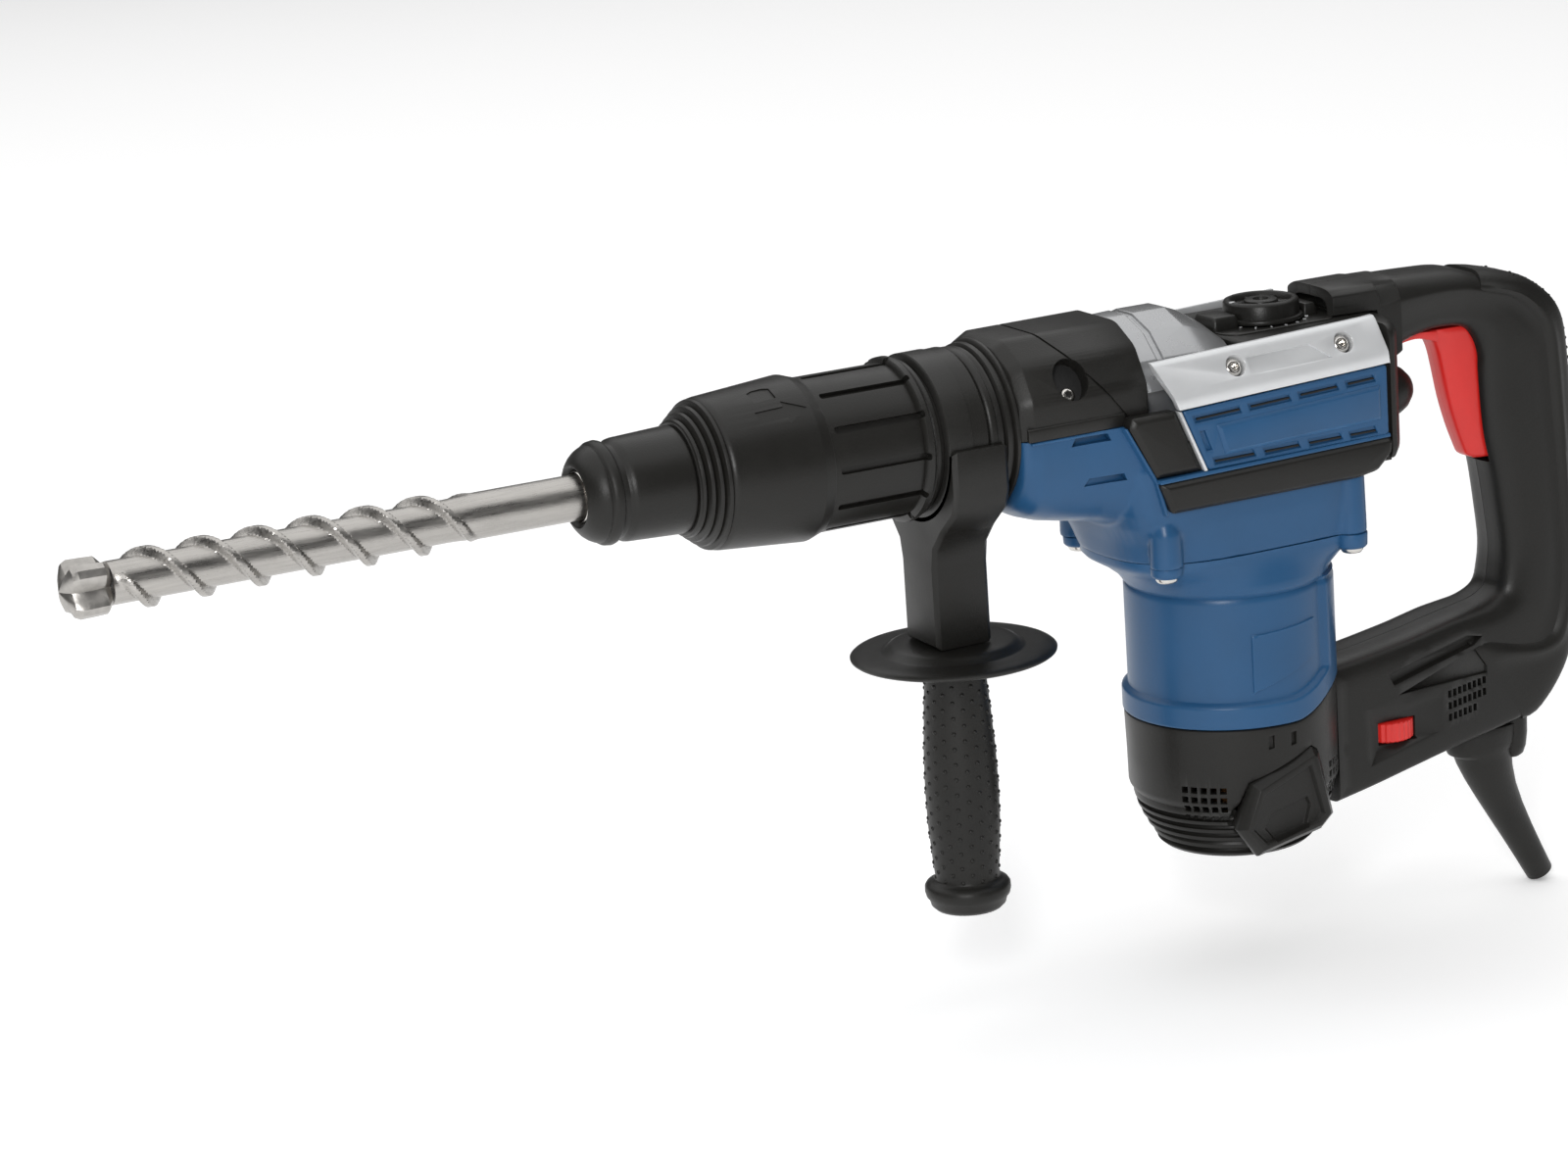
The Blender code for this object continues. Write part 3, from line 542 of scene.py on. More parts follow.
cover_sections = [arch_at(*row) for row in ((190.2, 0.9, 0.9), (190.8, 0.915, 0.92), (194.8, 0.975, 0.98),
    (195.6, 0.985, 0.99), (246.8, 1, 1), (247.7, 0.98, 0.985))]
add("neck_ring", lathe([(184.4, 30.8), (184.4, 32.6), (185, 33.6), (186.8, 33.8), (187.3, 32.8), (188, 32.8),
    (188.5, 34.4), (189, 34.9), (190, 34.9), (190, 30.8)], steps=128), BLACK, bevel=0)
bore = lathe([(170, 0), (170, 30.6), (260, 30.6), (260, 0)], steps=96)
SIDES = ((-1, "left"), (1, "right"))
pockets, pocket_places = [], []
for side, _ in SIDES:
    origin, out = Vector((214.5, side * 36.2, 21.2)), Vector((0, side * 0.86, 0.5)).normalized()
    pocket_places.append((origin, out))
    pockets.append(moved(loft([[(7.6 * a, 9 * b, z) for a, b in circle(1, 48)] for z in (-9.4, 8)]),
        frame_at(origin, out, (1, 0, 0))))
strap = [arch_at(x, wide, wide, 0.8) for x, wide in ((209.4, 1.1), (210.6, 1.1), (210.6, 0.974),
    (209.4, 0.974))]
add("cover_body", loft(cover_sections), BLACK, "gear_cover", cuts=[bore, loft(strap, closed=True)] + pockets,
    bevel=0.3)
for (side, name), (origin, out) in zip(SIDES, pocket_places):
    low = Vector((0, side * 0.5, -0.86)) * 4.6
    add(f"cover_screw_{name}", screw_head(origin - out * 9.6 + low, out, 3.2, 1.8), CHROME, bevel=0)
    add(f"cover_screw_well_{name}", moved(lathe([(-10, 0), (-10, 8.4), (-9.2, 8.4), (-9.2, 0)], "Z",
        (0, 0, 0), 32), frame_at(origin, out, (1, 0, 0))), DEEP, bevel=0)
both("cover_ledge", bar([(-37, -2), (-38.6, -2), (-38.6, 2.6), (-38, 3.4), (-37, 3.4)], (191.5, 236)), BLACK,
    bevel=0.4)

# ---- the blue body: belly, lower shell and four screw pillars, melted together
belly_half = [(-38, 1), (-38, -12), (-36.5, -24), (-32, -34), (-24, -41), (-12, -44)]
belly_ring = fillet(symmetric(belly_half), {(-38, 1): 0.3, (38, 1): 0.3, None: 5}, 3)


def belly_at(x, wide, deep, more=0):
    return [(x, y * wide, z if z > -4 else -4 + (z + 4) * deep - more * smooth_step(-20, -44, z)) for y,
        z in belly_ring]


belly = [belly_at(*row) for row in ((190.2, 0.9, 0.68), (190.9, 0.93, 0.72), (192.6, 0.965, 0.77),
    (198, 1, 0.855), (206, 1, 0.925), (218, 1, 0.985), (228, 1.02, 1, 1), (238, 1.06, 1, 4), (250, 1.1, 1, 9),
    (266, 1.12, 1, 15))]
inner = [[(x, y * 0.9, 5 if z > -4 else z * 0.9) for _, y, z in ring] for x,
    ring in zip((194, 195, 199, 205, 212, 222, 240), belly)]


def shell_ring(z, front, rear, half, steps=96, nose=2.8):
    """A plan outline: a rounded nose at the front and squarer corners at the rear."""
    ring = []
    middle = 296
    for i in range(steps):
        t = 2 * pi * (i + 0.5) / steps
        c, s = cos(t), sin(t)
        power, reach = (nose, middle - front) if c < 0 else (6, rear - middle)
        r = (abs(c / reach) ** power + abs(s / half) ** power) ** (-1 / power)
        ring.append((middle + r * c, r * s, z))
    return ring


shell_sections = [shell_ring(-22, 235, 351, 43, nose=8), shell_ring(-41, 237, 351, 43, nose=6),
    shell_ring(-48, 238.6, 350.6, 42.7, nose=4.4), shell_ring(-56, 241, 350, 41.8, nose=3.3),
    shell_ring(-64.6, 243, 349.6, 41)]
FRONT_PILLAR, REAR_PILLAR = (257, 30.4), (341.5, 38)


def post(x, y, z0, z1, r0, r1):
    return loft([[(x + a, y + b, z) for a, b in circle(r, 32)] for z, r in ((z0, r0 * 0.4),
        (z0 - 2, r0 * 0.8), (z0 - 6, r0), (z1, r1))])


posts = []
for side, _ in SIDES:
    posts.append(post(FRONT_PILLAR[0] - 3.5, side * (FRONT_PILLAR[1] + 5.6), -44, -64.6, 6.6, 6.9))
    posts.append(post(REAR_PILLAR[0], side * REAR_PILLAR[1], -34, -64.6, 6.4, 6.8))
front_vents = []
for x0, x1, z0 in ((211, 229, -5.2), (217, 236, -22.8)):
    front_vents.append(loft([[(x0, y, z0 - 1.6), (x1, y, z0 - 1.6), (x1 - 1.5, y, z0 + 1.6),
        (x0 + 2, y, z0 + 1.6)] for y in (-47, -34.6)]))
front_vents += [mirrored(v) for v in front_vents]
shell_inside = loft([shell_ring(z, 248, 346, 37) for z in (-80, 30)])
diagonal = plate([(233.9, 8), (370, 8), (370, -25.6), (247.6, -25.6)], [(-60, 0), (60, 0)])
add("blue_body", loft(belly), BLUE, ["front_shell", "lower_gear_shell"], adds=[loft(shell_sections)] + posts,
    blend=(1, 7), sharp=38, cuts=[plate([(170, -2.3), (170, 30), (400, 30), (400, -2.3)],
    [(-70, 0), (70, 0)]), diagonal, loft(inner), bore, shell_inside,
    plate([(170, -64), (400, -64), (400, -90), (170, -90)], [(-70, 0), (70, 0)])] + front_vents, bevel=0.25,
    angle=50)
both("front_rib", bar([(-36.6, -3.4), (-38.6, -3.4), (-38.6, -2.5), (-36.6, -2.3)], (193, 233)), BLUE,
    bevel=0.3)
for side, name in SIDES:
    for (x, y), tag, drop, shift in ((FRONT_PILLAR, "front", 0, (-3, 4.6)), (REAR_PILLAR, "rear", -2,
            (0, 0.4))):
        centre = (x + shift[0], side * (y + shift[1]))
        add(f"flange_boss_{tag}_{name}", loft([[(centre[0] + a, centre[1] + b, z) for a, b in circle(r, 40)]
            for z, r in ((-64.3, 6.7), (-67.6 + drop, 6.5), (-68.6 + drop, 5.6))]), BLUE, bevel=0.2)
        add(f"housing_screw_{tag}_{name}", screw_head(Vector((*centre, -68.4 + drop)), (0, 0, -1), 4.7, 2.6,
            (1, 0, 0)), CHROME, bevel=0)

# ---- silver ring and side strips
FACETS = (13, 35, 57, 80, 100, 123, 145, 167)
roof = []
for a0, a1 in zip(FACETS, FACETS[1:]):
    p, q = (Vector((cos(radians(a)), sin(radians(a)))) for a in (a0, a1))
    roof += [tuple(p.lerp(q, t)) for t in (0.03, 0.5, 0.97)]
last = len(roof) - 1


def ring_section(x, wide, high, under):
    outer = [(x, wide * y, high * z if 0 < i < last else 8.6) for i, (y, z) in enumerate(roof)]
    inside = [(x, (wide - 4.4) * y, under * z if 0 < i < last else 8.6) for i, (y, z) in enumerate(roof)]
    return outer + inside[::-1]


ring_stations = [(248.2, 34.8, 34.6, 30), (249.2, 35.8, 35.6, 31), (257.4, 36, 35.9, 31), (258, 35, 34.8, 31),
    (260.2, 35, 34.8, 31), (260.8, 36.2, 36.1, 31), (276, 36.2, 36.1, 31), (281, 36, 34.4, 30),
    (287, 35.8, 30.8, 27), (293, 35.3, 26.8, 24), (296, 35, 24.4, 22)]
# The gear ring wears the darker copy of the silver paint, painted shade.
add("ring_body", loft([ring_section(*s) for s in ring_stations]), RING_SHADED_SILVER, "gear_ring", bevel=0.25, sharp=14,
    angle=12)

strip_ring = [(-46, 2), (-46, 7), (-45.3, 8.6), (-39.6, 19.8), (-38.2, 21.2), (-36.4, 21.3), (-36.4, 17),
    (-43, 6), (-43, 2)]
strip = loft([[(x + (z - 2) * slope, y, z + rise) for y, z in strip_ring] for x, rise,
    slope in ((257.2, 0, -0.42), (258.4, 0.05, -0.42), (300, 1.6, -0.2), (350, 3.4, 0), (357.6, 3.8, -0.1),
    (358.5, 3.6, -0.12))])
strip_out = Vector((0, -0.89, 0.456)).normalized()
strip_cuts = []
STRIP_SCREWS = ((286.5, 16.4), (338.5, 18))
for x, z in STRIP_SCREWS:
    origin = Vector((x, -41.4, z - 1.6))
    strip_cuts.append(moved(lathe([(-2.6, 0), (-2.6, 4.3), (6, 4.9), (6, 0)], "Z", (0, 0, 0), 40),
        frame_at(origin, strip_out, (1, 0, 0))))
across = Vector((0, 0.456, 0.89))
channel = [(293, -4.2), (322, -4.4), (331.5, -4.4), (322.5, 3), (320.5, 3.2), (292, 3.2)]
base = Vector((0, -42, 14.6))
strip_cuts.append(loft([[Vector((x, 0, (x - 300) * 0.03)) + base + across * w + strip_out * d for x,
    w in channel] for d in (0, 4)]))
both("strip_body", strip, SILVER, ["side_strip"], cuts=strip_cuts, bevel=0.4)
for side, name in SIDES:
    for k, (x, z) in enumerate(STRIP_SCREWS):
        out = Vector((0, side * 0.89, 0.456)).normalized()
        origin = Vector((x, side * 41.4, z - 1.6)) - out * 2.6
        add(f"strip_screw_{name}_{k}", screw_head(origin, out, 3.9, 2.4, (1, 0, 0)), CHROME, bevel=0)

# ---- blue vent panels, black trims and bands
panel_outline = [(258.8, 1.2), (357, 5), (357, -24.2), (269.6, -24.6)]
panel_cuts, frames = [], []


def slanted(x0, x1, z0, z1, lean, high, grow):
    return [(x0 - grow, z0 - grow), (x1 + grow, z1 - grow), (x1 - lean + grow, z1 + high + grow),
        (x0 - lean - grow, z0 + high + grow)]


def vent(x0, x1, z0, z1, lean=1.2, high=2.9):
    """A slot with a shallow bevelled rim round a deep opening."""
    rim = slanted(x0, x1, z0, z1, lean, high, 0.9)
    panel_cuts.append(plate(slanted(x0, x1, z0, z1, lean, high, 0), [(-50, 0), (-44.2, 0)]))
    frames.append(loft([[(x, y, z) for x, z in (inset(rim, by) if by else rim)] for y,
        by in ((-46.4, 0), (-45.5, 0.75))]))


def panel_top(x):
    return 1.2 + (x - 258.8) * 3.8 / 98.2


UPPER_VENTS = ((264.5, 286.5), (290.5, 310.5), (314.5, 333.5), (337.5, 351.5))
LOWER_VENTS = ((273, 292.5), (297, 314), (318.5, 334.5), (338.5, 351.5))
for x0, x1 in UPPER_VENTS:
    vent(x0, x1, panel_top(x0) - 5.9, panel_top(x1) - 5.9)
for x0, x1 in LOWER_VENTS:
    vent(x0, x1, -23, -22.6)
vent(269.2, 271.8, -16.6, -16.5, 3, 8.4)
both("panel_body", plate(panel_outline, [(-43.2, 0), (-45.3, 0), (-46, 0.7)], radius=1.4), BLUE,
    ["vent_panel"], cuts=panel_cuts + frames, bevel=0.15)
both("panel_backing", box(262, 355, -44, -43.4, -24, 3), DEEP, bevel=0)
louvres = []
for x0, x1 in UPPER_VENTS:
    louvres.append(loft([[(x, y, panel_top(x) + dz) for y, dz in ((-44, -4.6), (-44.9, -4.9), (-44.9, -4.3),
        (-44, -4))] for x in (x0 + 1, x1 - 0.5)]))
for x0, x1 in LOWER_VENTS:
    louvres.append(bar([(-44, -21.8), (-44.9, -22.1), (-44.9, -21.5), (-44, -21.2)], (x0 + 0.5, x1 - 0.5)))
both("panel_louvres", merged(*louvres), DEEP, bevel=0)
badge = [(273.8, -6.6), (353, -2.8), (353, -17), (277.6, -19.2)]
both("panel_badge", plate(badge, [(-45.2, 0), (-46.2, 0), (-47.3, 1.5)], radius=0.7), BLUE, bevel=0.1)
trim_outline = [(234.6, -2.4), (236.2, 1.6), (256.2, 1.6), (267.4, -24.6), (246.4, -24.6)]
both("trim_body", plate(trim_outline, [(-38.5, 0), (-43.6, 0), (-45.3, 2), (-45.4, 2.6)], radius=0.9), BLACK,
    ["side_trim"], bevel=0.3)
both("trim_line", plate([(256.6, 1.6), (258, 1.2), (269, -24.6), (267.6, -24.7)], [(-43, 0), (-46.1, 0)]),
    SILVER, bevel=0.2)
both("trim_edge", plate([(232.8, -2.2), (234, -2.2), (247.4, -26.4), (251.4, -40.6), (250, -41.2),
    (245.9, -26.6)], [(-36, 0), (-43.4, 0), (-43.8, 0.3)]), BLUE, bevel=0.15)
band_outline = [(246.4, -26.9), (357, -25), (358.6, -27), (358, -32), (351, -38.4), (341, -40),
    (251.6, -39.9)]
both("band_body", plate(band_outline, [(-43.1, 0), (-45.4, 0), (-47.3, 1.7), (-47.5, 2.4)], radius=1.6),
    BLACK, ["side_band"], bevel=0.2)
both("band_lip",
    loft([[(x, y, z + up) for y, z in ((-43.1, -26.7), (-46.3, -26.7), (-46.1, -25.2), (-43.1, -25))] for x,
    up in ((246.6, -0.2), (300, 0.6), (350, 1.4), (357.4, 1.5))]), BLUE, bevel=0.3)

# ---- motor housing and end cap
def upper_ring(z, blend, radius, steps=180):
    """Melts the flange's plan outline (blend 0) into the motor's circle (blend 1)."""
    ring = []
    for fx, fy, _ in shell_ring(z, 243.6, 349.2, 41.2, steps):
        t = atan2(fy, fx - MOTOR_X)
        ring.append((fx + (MOTOR_X + radius * cos(t) - fx) * blend, fy + (radius * sin(t) - fy) * blend, z))
    return ring


def rise(c):
    """The seam between housing and end cap climbs towards the handle; c is the cosine of the turn from +X."""
    return 11 * smooth_step(0.08, 0.86, c)


def motor_radius(degrees, z):
    """0 degrees faces sideways and 90 faces the handle; the rear and the lowest band stand proud."""
    lower = -127 + rise(sin(radians(degrees)))
    outside = max((degrees - 33) * 0.74, lower - z)
    return 42.5 + 2.7 * smooth_step(-0.2, 1.9, outside)


motor_rings = [upper_ring(z, b, r) for z, b, r in ((-64.35, 0, 42), (-67, 0, 42), (-69, 0.1, 42.6),
    (-73, 0.5, 42.9), (-77.5, 0.85, 43.3), (-80.6, 1, 43.5))]
angles = [atan2(p[1], p[0] - MOTOR_X) for p in motor_rings[-1]]
rows = [-81.4, -82.2, -83, -84] + [-86 - 2 * i for i in range(15)] + [-115 - 0.75 * i for i in range(30)]
for z in rows + [-137.6]:
    ring = []
    for t in angles:
        c = cos(t)
        facing = degrees(asin(max(-1, min(1, c))))
        low = -84 + (z + 84) * (54 - rise(c)) / 54 if z < -84 else z
        r = motor_radius(facing, low)
        if z > -84:
            groove = 0.9 * smooth_step(-81, -82.2, z) * (1 - smooth_step(-83, -84.2, z))
            r = max(43.4 - 0.9 * smooth_step(-81, -84, z), r if facing > 31 else 0) - groove
        ring.append((MOTOR_X + r * c, r * sin(t), low))
    motor_rings.append(ring)
motor_rings.append([(MOTOR_X + (p[0] - MOTOR_X) * 0.992, p[1] * 0.992, p[2] - 0.35) for p in motor_rings[-1]])
motor_bore = lathe([(-150, 0), (-150, 39.5), (-50, 39.5), (-50, 0)], "Z", MOTOR, 96)
add("motor_body", loft(motor_rings), BLUE, "motor_housing", cuts=[motor_bore], bevel=0, sharp=50)


def on_motor(outline, r0, r1):
    """Wraps an outline of (degrees, z) on the motor; 0 degrees faces -Y, and the angle grows towards +X."""
    return loft([[(MOTOR_X + r * sin(radians(a)), -r * cos(radians(a)), z) for a, z in outline] for r in (r0,
        r1)])


def curved_pad(name, corners, radius, thick, edge):
    """A thin blue pad that follows the motor's curve between four (degrees, z) corners."""
    columns, lines = 28, 18
    (a0, z0), (a1, z1), (a2, z2), (a3, z3) = corners
    points = []
    for j in range(lines + 1):
        v = smooth_step(0, 1, j / lines) * 0.5 + 0.5 * j / lines
        for i in range(columns + 1):
            u = smooth_step(0, 1, i / columns) * 0.5 + 0.5 * i / columns
            a = (a0 * (1 - u) + a1 * u) * (1 - v) + (a3 * (1 - u) + a2 * u) * v
            z = (z0 * (1 - u) + z1 * u) * (1 - v) + (z3 * (1 - u) + z2 * u) * v
            d = min(u, 1 - u) * abs(a1 - a0) * radius * pi / 180, min(v, 1 - v) * abs(z3 - z0)
            r = radius - 0.6 + (thick + 0.6) * smooth_step(0, edge, min(d))
            points.append((MOTOR_X + r * sin(radians(a)), -r * cos(radians(a)), z))
    inner = [(MOTOR_X + (p[0] - MOTOR_X) * 0.96, p[1] * 0.96, p[2]) for p in points]
    count, size = columns + 1, len(points)
    faces = []
    for j in range(lines):
        for i in range(columns):
            a = j * count + i
            faces += [(a, a + 1, a + 1 + count, a + count), (a + size + count, a + size + count + 1,
                a + size + 1, a + size)]
    border = (list(range(count)) + [j * count + columns for j in range(1, lines + 1)]
        + [lines * count + i for i in range(columns - 1, -1, -1)] + [j * count for j in range(lines - 1, 0,
        -1)])
    faces += [(a, b, b + size, a + size) for a, b in zip(border, border[1:] + border[:1])]
    add(name, (points + inner, faces), BLUE, bevel=0, sharp=60)


curved_pad("motor_badge_left", [(-19, -98.5), (25.5, -96.5), (25.5, -112.5), (-19, -124.4)], 42.5, 0.8, 0.6)
curved_pad("motor_badge_right", [(154, -112.5), (199, -124.4), (199, -98.5), (154, -96.5)], 42.5, 0.8, 0.6)

cap_profile = [(-193.5, 0), (-193.5, 11.3), (-183, 11.3), (-183, 13.6), (-192, 15), (-192, 28), (-184, 34.5),
    (-170, 40.6), (-138.4, 40.6), (-138.5, 44.2), (-139, 44.7), (-141, 44.7), (-144, 44.6), (-148, 44.5),
    (-152, 44.4), (-156, 44.3), (-169.5, 44.2), (-171, 43.8), (-173.5, 41.9)]
for z, r in ((-175, 42.3), (-179, 41.2), (-183, 39.5), (-187, 37.4), (-191, 34.9)):
    cap_profile += [(z, r), (z - 1.5, r - 0.35), (z - 1.8, r - 2.6), (z - 2.8, r - 3.2), (z - 3.7, r - 2.6)]
cap_profile += [(-195.4, 33.2), (-197, 31.4), (-197, 0)]
cap_shape = lathe(cap_profile, "Z", MOTOR, 180)
cap_shape = ([(x, y, z + rise((x - MOTOR_X) / 44.5) * (1 - smooth_step(-140, -158, z))) for x, y,
    z in cap_shape[0]], cap_shape[1])
vents = []
for first_angle, top in ((-61, -163.2), (33, -161.2)):
    for k in range(20):
        a0, z0 = first_angle + k // 4 * 5.4, top - k % 4 * 4.3
        vents.append(on_motor([(a0, z0), (a0 + 3.7, z0), (a0 + 3.7, z0 - 2.7), (a0, z0 - 2.7)], 38.4, 47))
vents += [mirrored(v) for v in vents]
for a0 in (-12, 1.5):
    vents.append(on_motor([(a0, -142.4), (a0 + 3.4, -142), (a0 + 3.4, -147.6), (a0, -148)], 43, 47))
hexagon = [(277.4, -180), (285.4, -161.6), (314.8, -150.6), (318.4, -153.2), (324.6, -181.6), (318, -187.4),
    (286.6, -193.2)]
window = plate(inset(hexagon, -0.35), [(-60, 0), (-33, 0)])
add("cap_body", cap_shape, BLACK, "motor_end_cap", cuts=vents + [window, mirrored(window)], bevel=0.2)
inner_hex = [(290, -181.6), (293.4, -175.2), (311.6, -171.4), (313.4, -175.6), (310.6, -184.2),
    (294.6, -187.6)]
well = [(283, -180.3), (289.2, -166), (312.9, -157.2), (318.9, -180.2), (315.6, -183.1), (289.6, -187.8)]
both("brush_cover_body", plate(hexagon, [(-33.6, 3), (-40, 0.2), (-42, 0), (-43.2, 0.4), (-45.4, 2.4),
    (-46.2, 2.9)]), BLACK, ["brush_cover"], cuts=[plate(well, [(-60, 0), (-46.6, 0), (-43.8, 1)]),
    plate(inner_hex, [(-60, 0), (-44.2, 0), (-42, 0.9)])], bevel=0.25)

# ---- top deck and mode selector
deck_shape = plate(rounded(297.6, 358.6, -35.8, 35.8, 4), [(17.2, 0), (20.4, 0), (21.4, 1)], "XY")
add("deck_body", deck_shape, BLACK, "top_deck", bevel=0.2, cuts=[lathe([(10, 0), (10, 8), (23, 8), (23, 0)],
    "Z", KNOB, 48)])
add("deck_dial_plate", plate(fillet([(302, -19.5), (349, -19.5), (353, -12), (353, 12), (349, 19.5),
    (302, 19.5), (298.5, 12), (298.5, -12)], 3, 4), [(21, 0), (21.8, 0), (22.2, 0.6)], "XY"), BLACK,
    bevel=0.15, cuts=[lathe([(10, 0), (10, 17.6), (30, 17.6), (30, 0)], "Z", KNOB, 64)])
add("deck_front_bar", plate(rounded(298, 311, -8.6, 8.6, 2.5, 5), [(20.6, 0), (25.4, 0.4), (27.4, 1.4)],
    "XY"), BLACK, bevel=0.3)
add("deck_rear_bar", plate(rounded(342, 349, -8.6, 8.6, 1.8, 5), [(20.6, 0), (25, 0.4), (27, 1.2)], "XY"),
    BLACK, bevel=0.3)
ticks = []
for k in range(7):
    a = radians(-150 + 20 * k)
    p, q = Vector((cos(a), sin(a), 0)), Vector((-sin(a), cos(a), 0))
    ring = [Vector(KNOB) + p * r + q * w for r, w in ((17.9, -0.3), (19.2, -0.3), (19.2, 0.3), (17.9, 0.3))]
    ticks.append(loft([[(v.x, v.y, z) for v in ring] for z in (22.1, 22.5)]))
add("deck_marks", merged(*ticks), SILVER, bevel=0)
knob_profile = [(17.6, 0), (17.6, 7.4), (22.6, 7.4), (22.6, 17), (23.4, 17.3), (24.2, 17), (24.6, 16),
    (29.8, 15.8), (30.8, 15.2), (31.2, 14.2), (31.2, 13.2), (30.8, 12.6), (28.6, 12), (28.4, 7.4),
    (30.4, 6.9), (30.8, 6.3), (30.8, 3.4), (29.4, 2.8), (29.4, 0)]
add("knob_body", lathe(knob_profile, "Z", KNOB, 96), BLACK, "mode_knob", "selector", bevel=0)
add("knob_pointer", loft([[(KNOB_X - 15, -0.9, z), (KNOB_X - 12.8, -0.9, z), (KNOB_X - 12.8, 0.9, z),
    (KNOB_X - 15, 0.9, z)] for z in (30.6, 31.35)]), SILVER, body="selector", bevel=0.15)
add("knob_ribs", merged(*[moved(box(7, 12.6, -0.7, 0.7, 28.2, 29.7), Matrix.Translation(KNOB)
    @ Matrix.Rotation(radians(60 * k + 30), 4, "Z")) for k in range(6)]), BLACK, body="selector", bevel=0.15)

# ---- rear cover and dome
def rear_ring(x, half, low, high, corner):
    return [(x, y, z) for y, z in rounded(-half, half, low, high, corner)]


add("rear_body", loft([rear_ring(*row) for row in ((359.1, 45, -36, 21.2, 6), (361.5, 44.6, -36, 21.2, 6),
    (365, 41.5, -35, 21.2, 7), (368.4, 34, -33.5, 21, 8), (370.8, 26, -32, 20.5, 9),
    (371.9, 20, -31, 20, 9))]), BLACK, "rear_cover", adds=[box(351.6, 360, -42.5, 42.5, -36, 1.5)], bevel=0.3)
add("dome_body", lathe([(371, 0), (371, 11.8), (375, 12), (376, 11.4), (379, 11.3), (380, 11.9), (386, 11.8),
    (390, 10.9), (393.4, 9.2), (396.6, 6.2), (398.6, 3.2), (399.3, 0)], centre=(0, 0, -18), steps=64), RUBBER,
    "rear_dome", bevel=0)

# ---- rear handle
# Half sections of the handle: (place from the inner side -1 to the outer side 1, share of the half width).
TOP_BAR = [(1, 0), (1, 0.5), (0.86, 0.8), (0.46, 1), (0.26, 0.98), (-0.3, 0.8), (-0.74, 0.74), (-1, 0.56),
    (-1, 0)]
GRIP = [(1, 0), (1, 0.46), (0.88, 0.84), (0.58, 1), (0.34, 0.925), (0.02, 0.99), (-0.52, 0.95), (-0.95, 0.64),
    (-1, 0)]
LOWER_ARM = [(1, 0), (1, 0.66), (0.96, 0.92), (0.86, 1), (0.3, 1), (-0.3, 1), (-0.82, 1), (-1, 0.78), (-1, 0)]
COLLAR = [(1, 0), (1, 0.5), (0.86, 0.8), (0.5, 0.99), (0.3, 1), (-0.3, 1), (-0.74, 1), (-1, 1), (-1, 0)]
# Outer x and z, inner x and z, half width, and the half section: 0 top bar, 1 grip, 2 lower arm, or between.
STATIONS = [(373.4, 32.6, 373.6, -5, 16.4, 0), (386, 32.2, 385, 1.6, 16.6, 0), (403, 31.6, 401, 6.4, 16.8, 0),
    (418, 30.6, 414.6, 6.6, 16.9, 0), (430.2, 26.9, 421.4, 4.6, 16.9, 0.3), (446.5, 22.9, 425.2, -1, 16.9,
    0.7), (456, 18.2, 427, -7.6, 16.9, 0.9), (464.8, 10.6, 426.8, -14, 16.9, 1), (469.3, 1.4, 427, -21, 16.9,
    1), (471.2, -14, 427.6, -31, 16.9, 1), (472.2, -32, 429, -44, 16.9, 1), (473, -54, 432.4, -60, 16.9, 1),
    (473.6, -78, 435, -78, 16.9, 1), (473.8, -100, 436.6, -93, 16.9, 1), (473, -118, 435.6, -104, 16.9, 1.1),
    (470.4, -134, 433.4, -111.6, 16.9, 1.3), (465.5, -147.8, 426, -115.6, 16.9, 1.55),
    (456.6, -159.9, 417, -117.3, 16.9, 1.8), (445, -168.6, 408.6, -118.8, 16.9, 2), (430, -172.6, 400, -120.4,
    16.9, 2), (410, -176.2, 390, -122.4, 16.9, 2), (386, -181.2, 376, -124.6, 16.9, 2),
    (364, -185.8, 362, -126.6, 16.9, 2), (345.4, -189.2, 345.4, -128.3, 16.9, 2)]


def open_chaikin(line, rounds=2, keep=0.24):
    """Cuts the corners of an open line, keeping its ends."""
    for _ in range(rounds):
        ring = [line[0]]
        for a, b in zip(line, line[1:]):
            a, b = Vector(a), Vector(b)
            ring += [tuple(a.lerp(b, keep)), tuple(a.lerp(b, 1 - keep))]
        line = ring + [line[-1]]
    return line


def smooth_path(values, parts=4):
    """Catmull-Rom through a list of equal-length number tuples."""
    ends = [values[0]] + values + [values[-1]]
    result = []
    for p0, p1, p2, p3 in zip(ends, ends[1:], ends[2:], ends[3:]):
        for k in range(parts):
            t = k / parts
            result.append(tuple(0.5 * (2 * b + (c - a) * t + (2 * a - 5 * b + 4 * c - d) * t * t
                + (3 * b - a - 3 * c + d) * t ** 3) for a, b, c, d in zip(p0, p1, p2, p3)))
    return result + [values[-1]]


half_sections = [open_chaikin(h) for h in (TOP_BAR, GRIP, LOWER_ARM)]
handle_path = smooth_path([(*row, max(0, 1 - mix), 1 - abs(mix - 1), max(0, mix - 1)) for *row,
    mix in STATIONS])


def section_at(numbers):
    """The half section's (x, z) centre, half vector, half width and (place, share) points."""
    ox, oz, ix, iz, width, *mix = numbers
    centre, half = Vector(((ox + ix) / 2, (oz + iz) / 2)), Vector(((ox - ix) / 2, (oz - iz) / 2))
    line = [(sum(m * h[k][0] for m, h in zip(mix, half_sections)), sum(m * h[k][1] for m,
        h in zip(mix, half_sections))) for k in range(len(half_sections[0]))]
    return centre, half, width, line


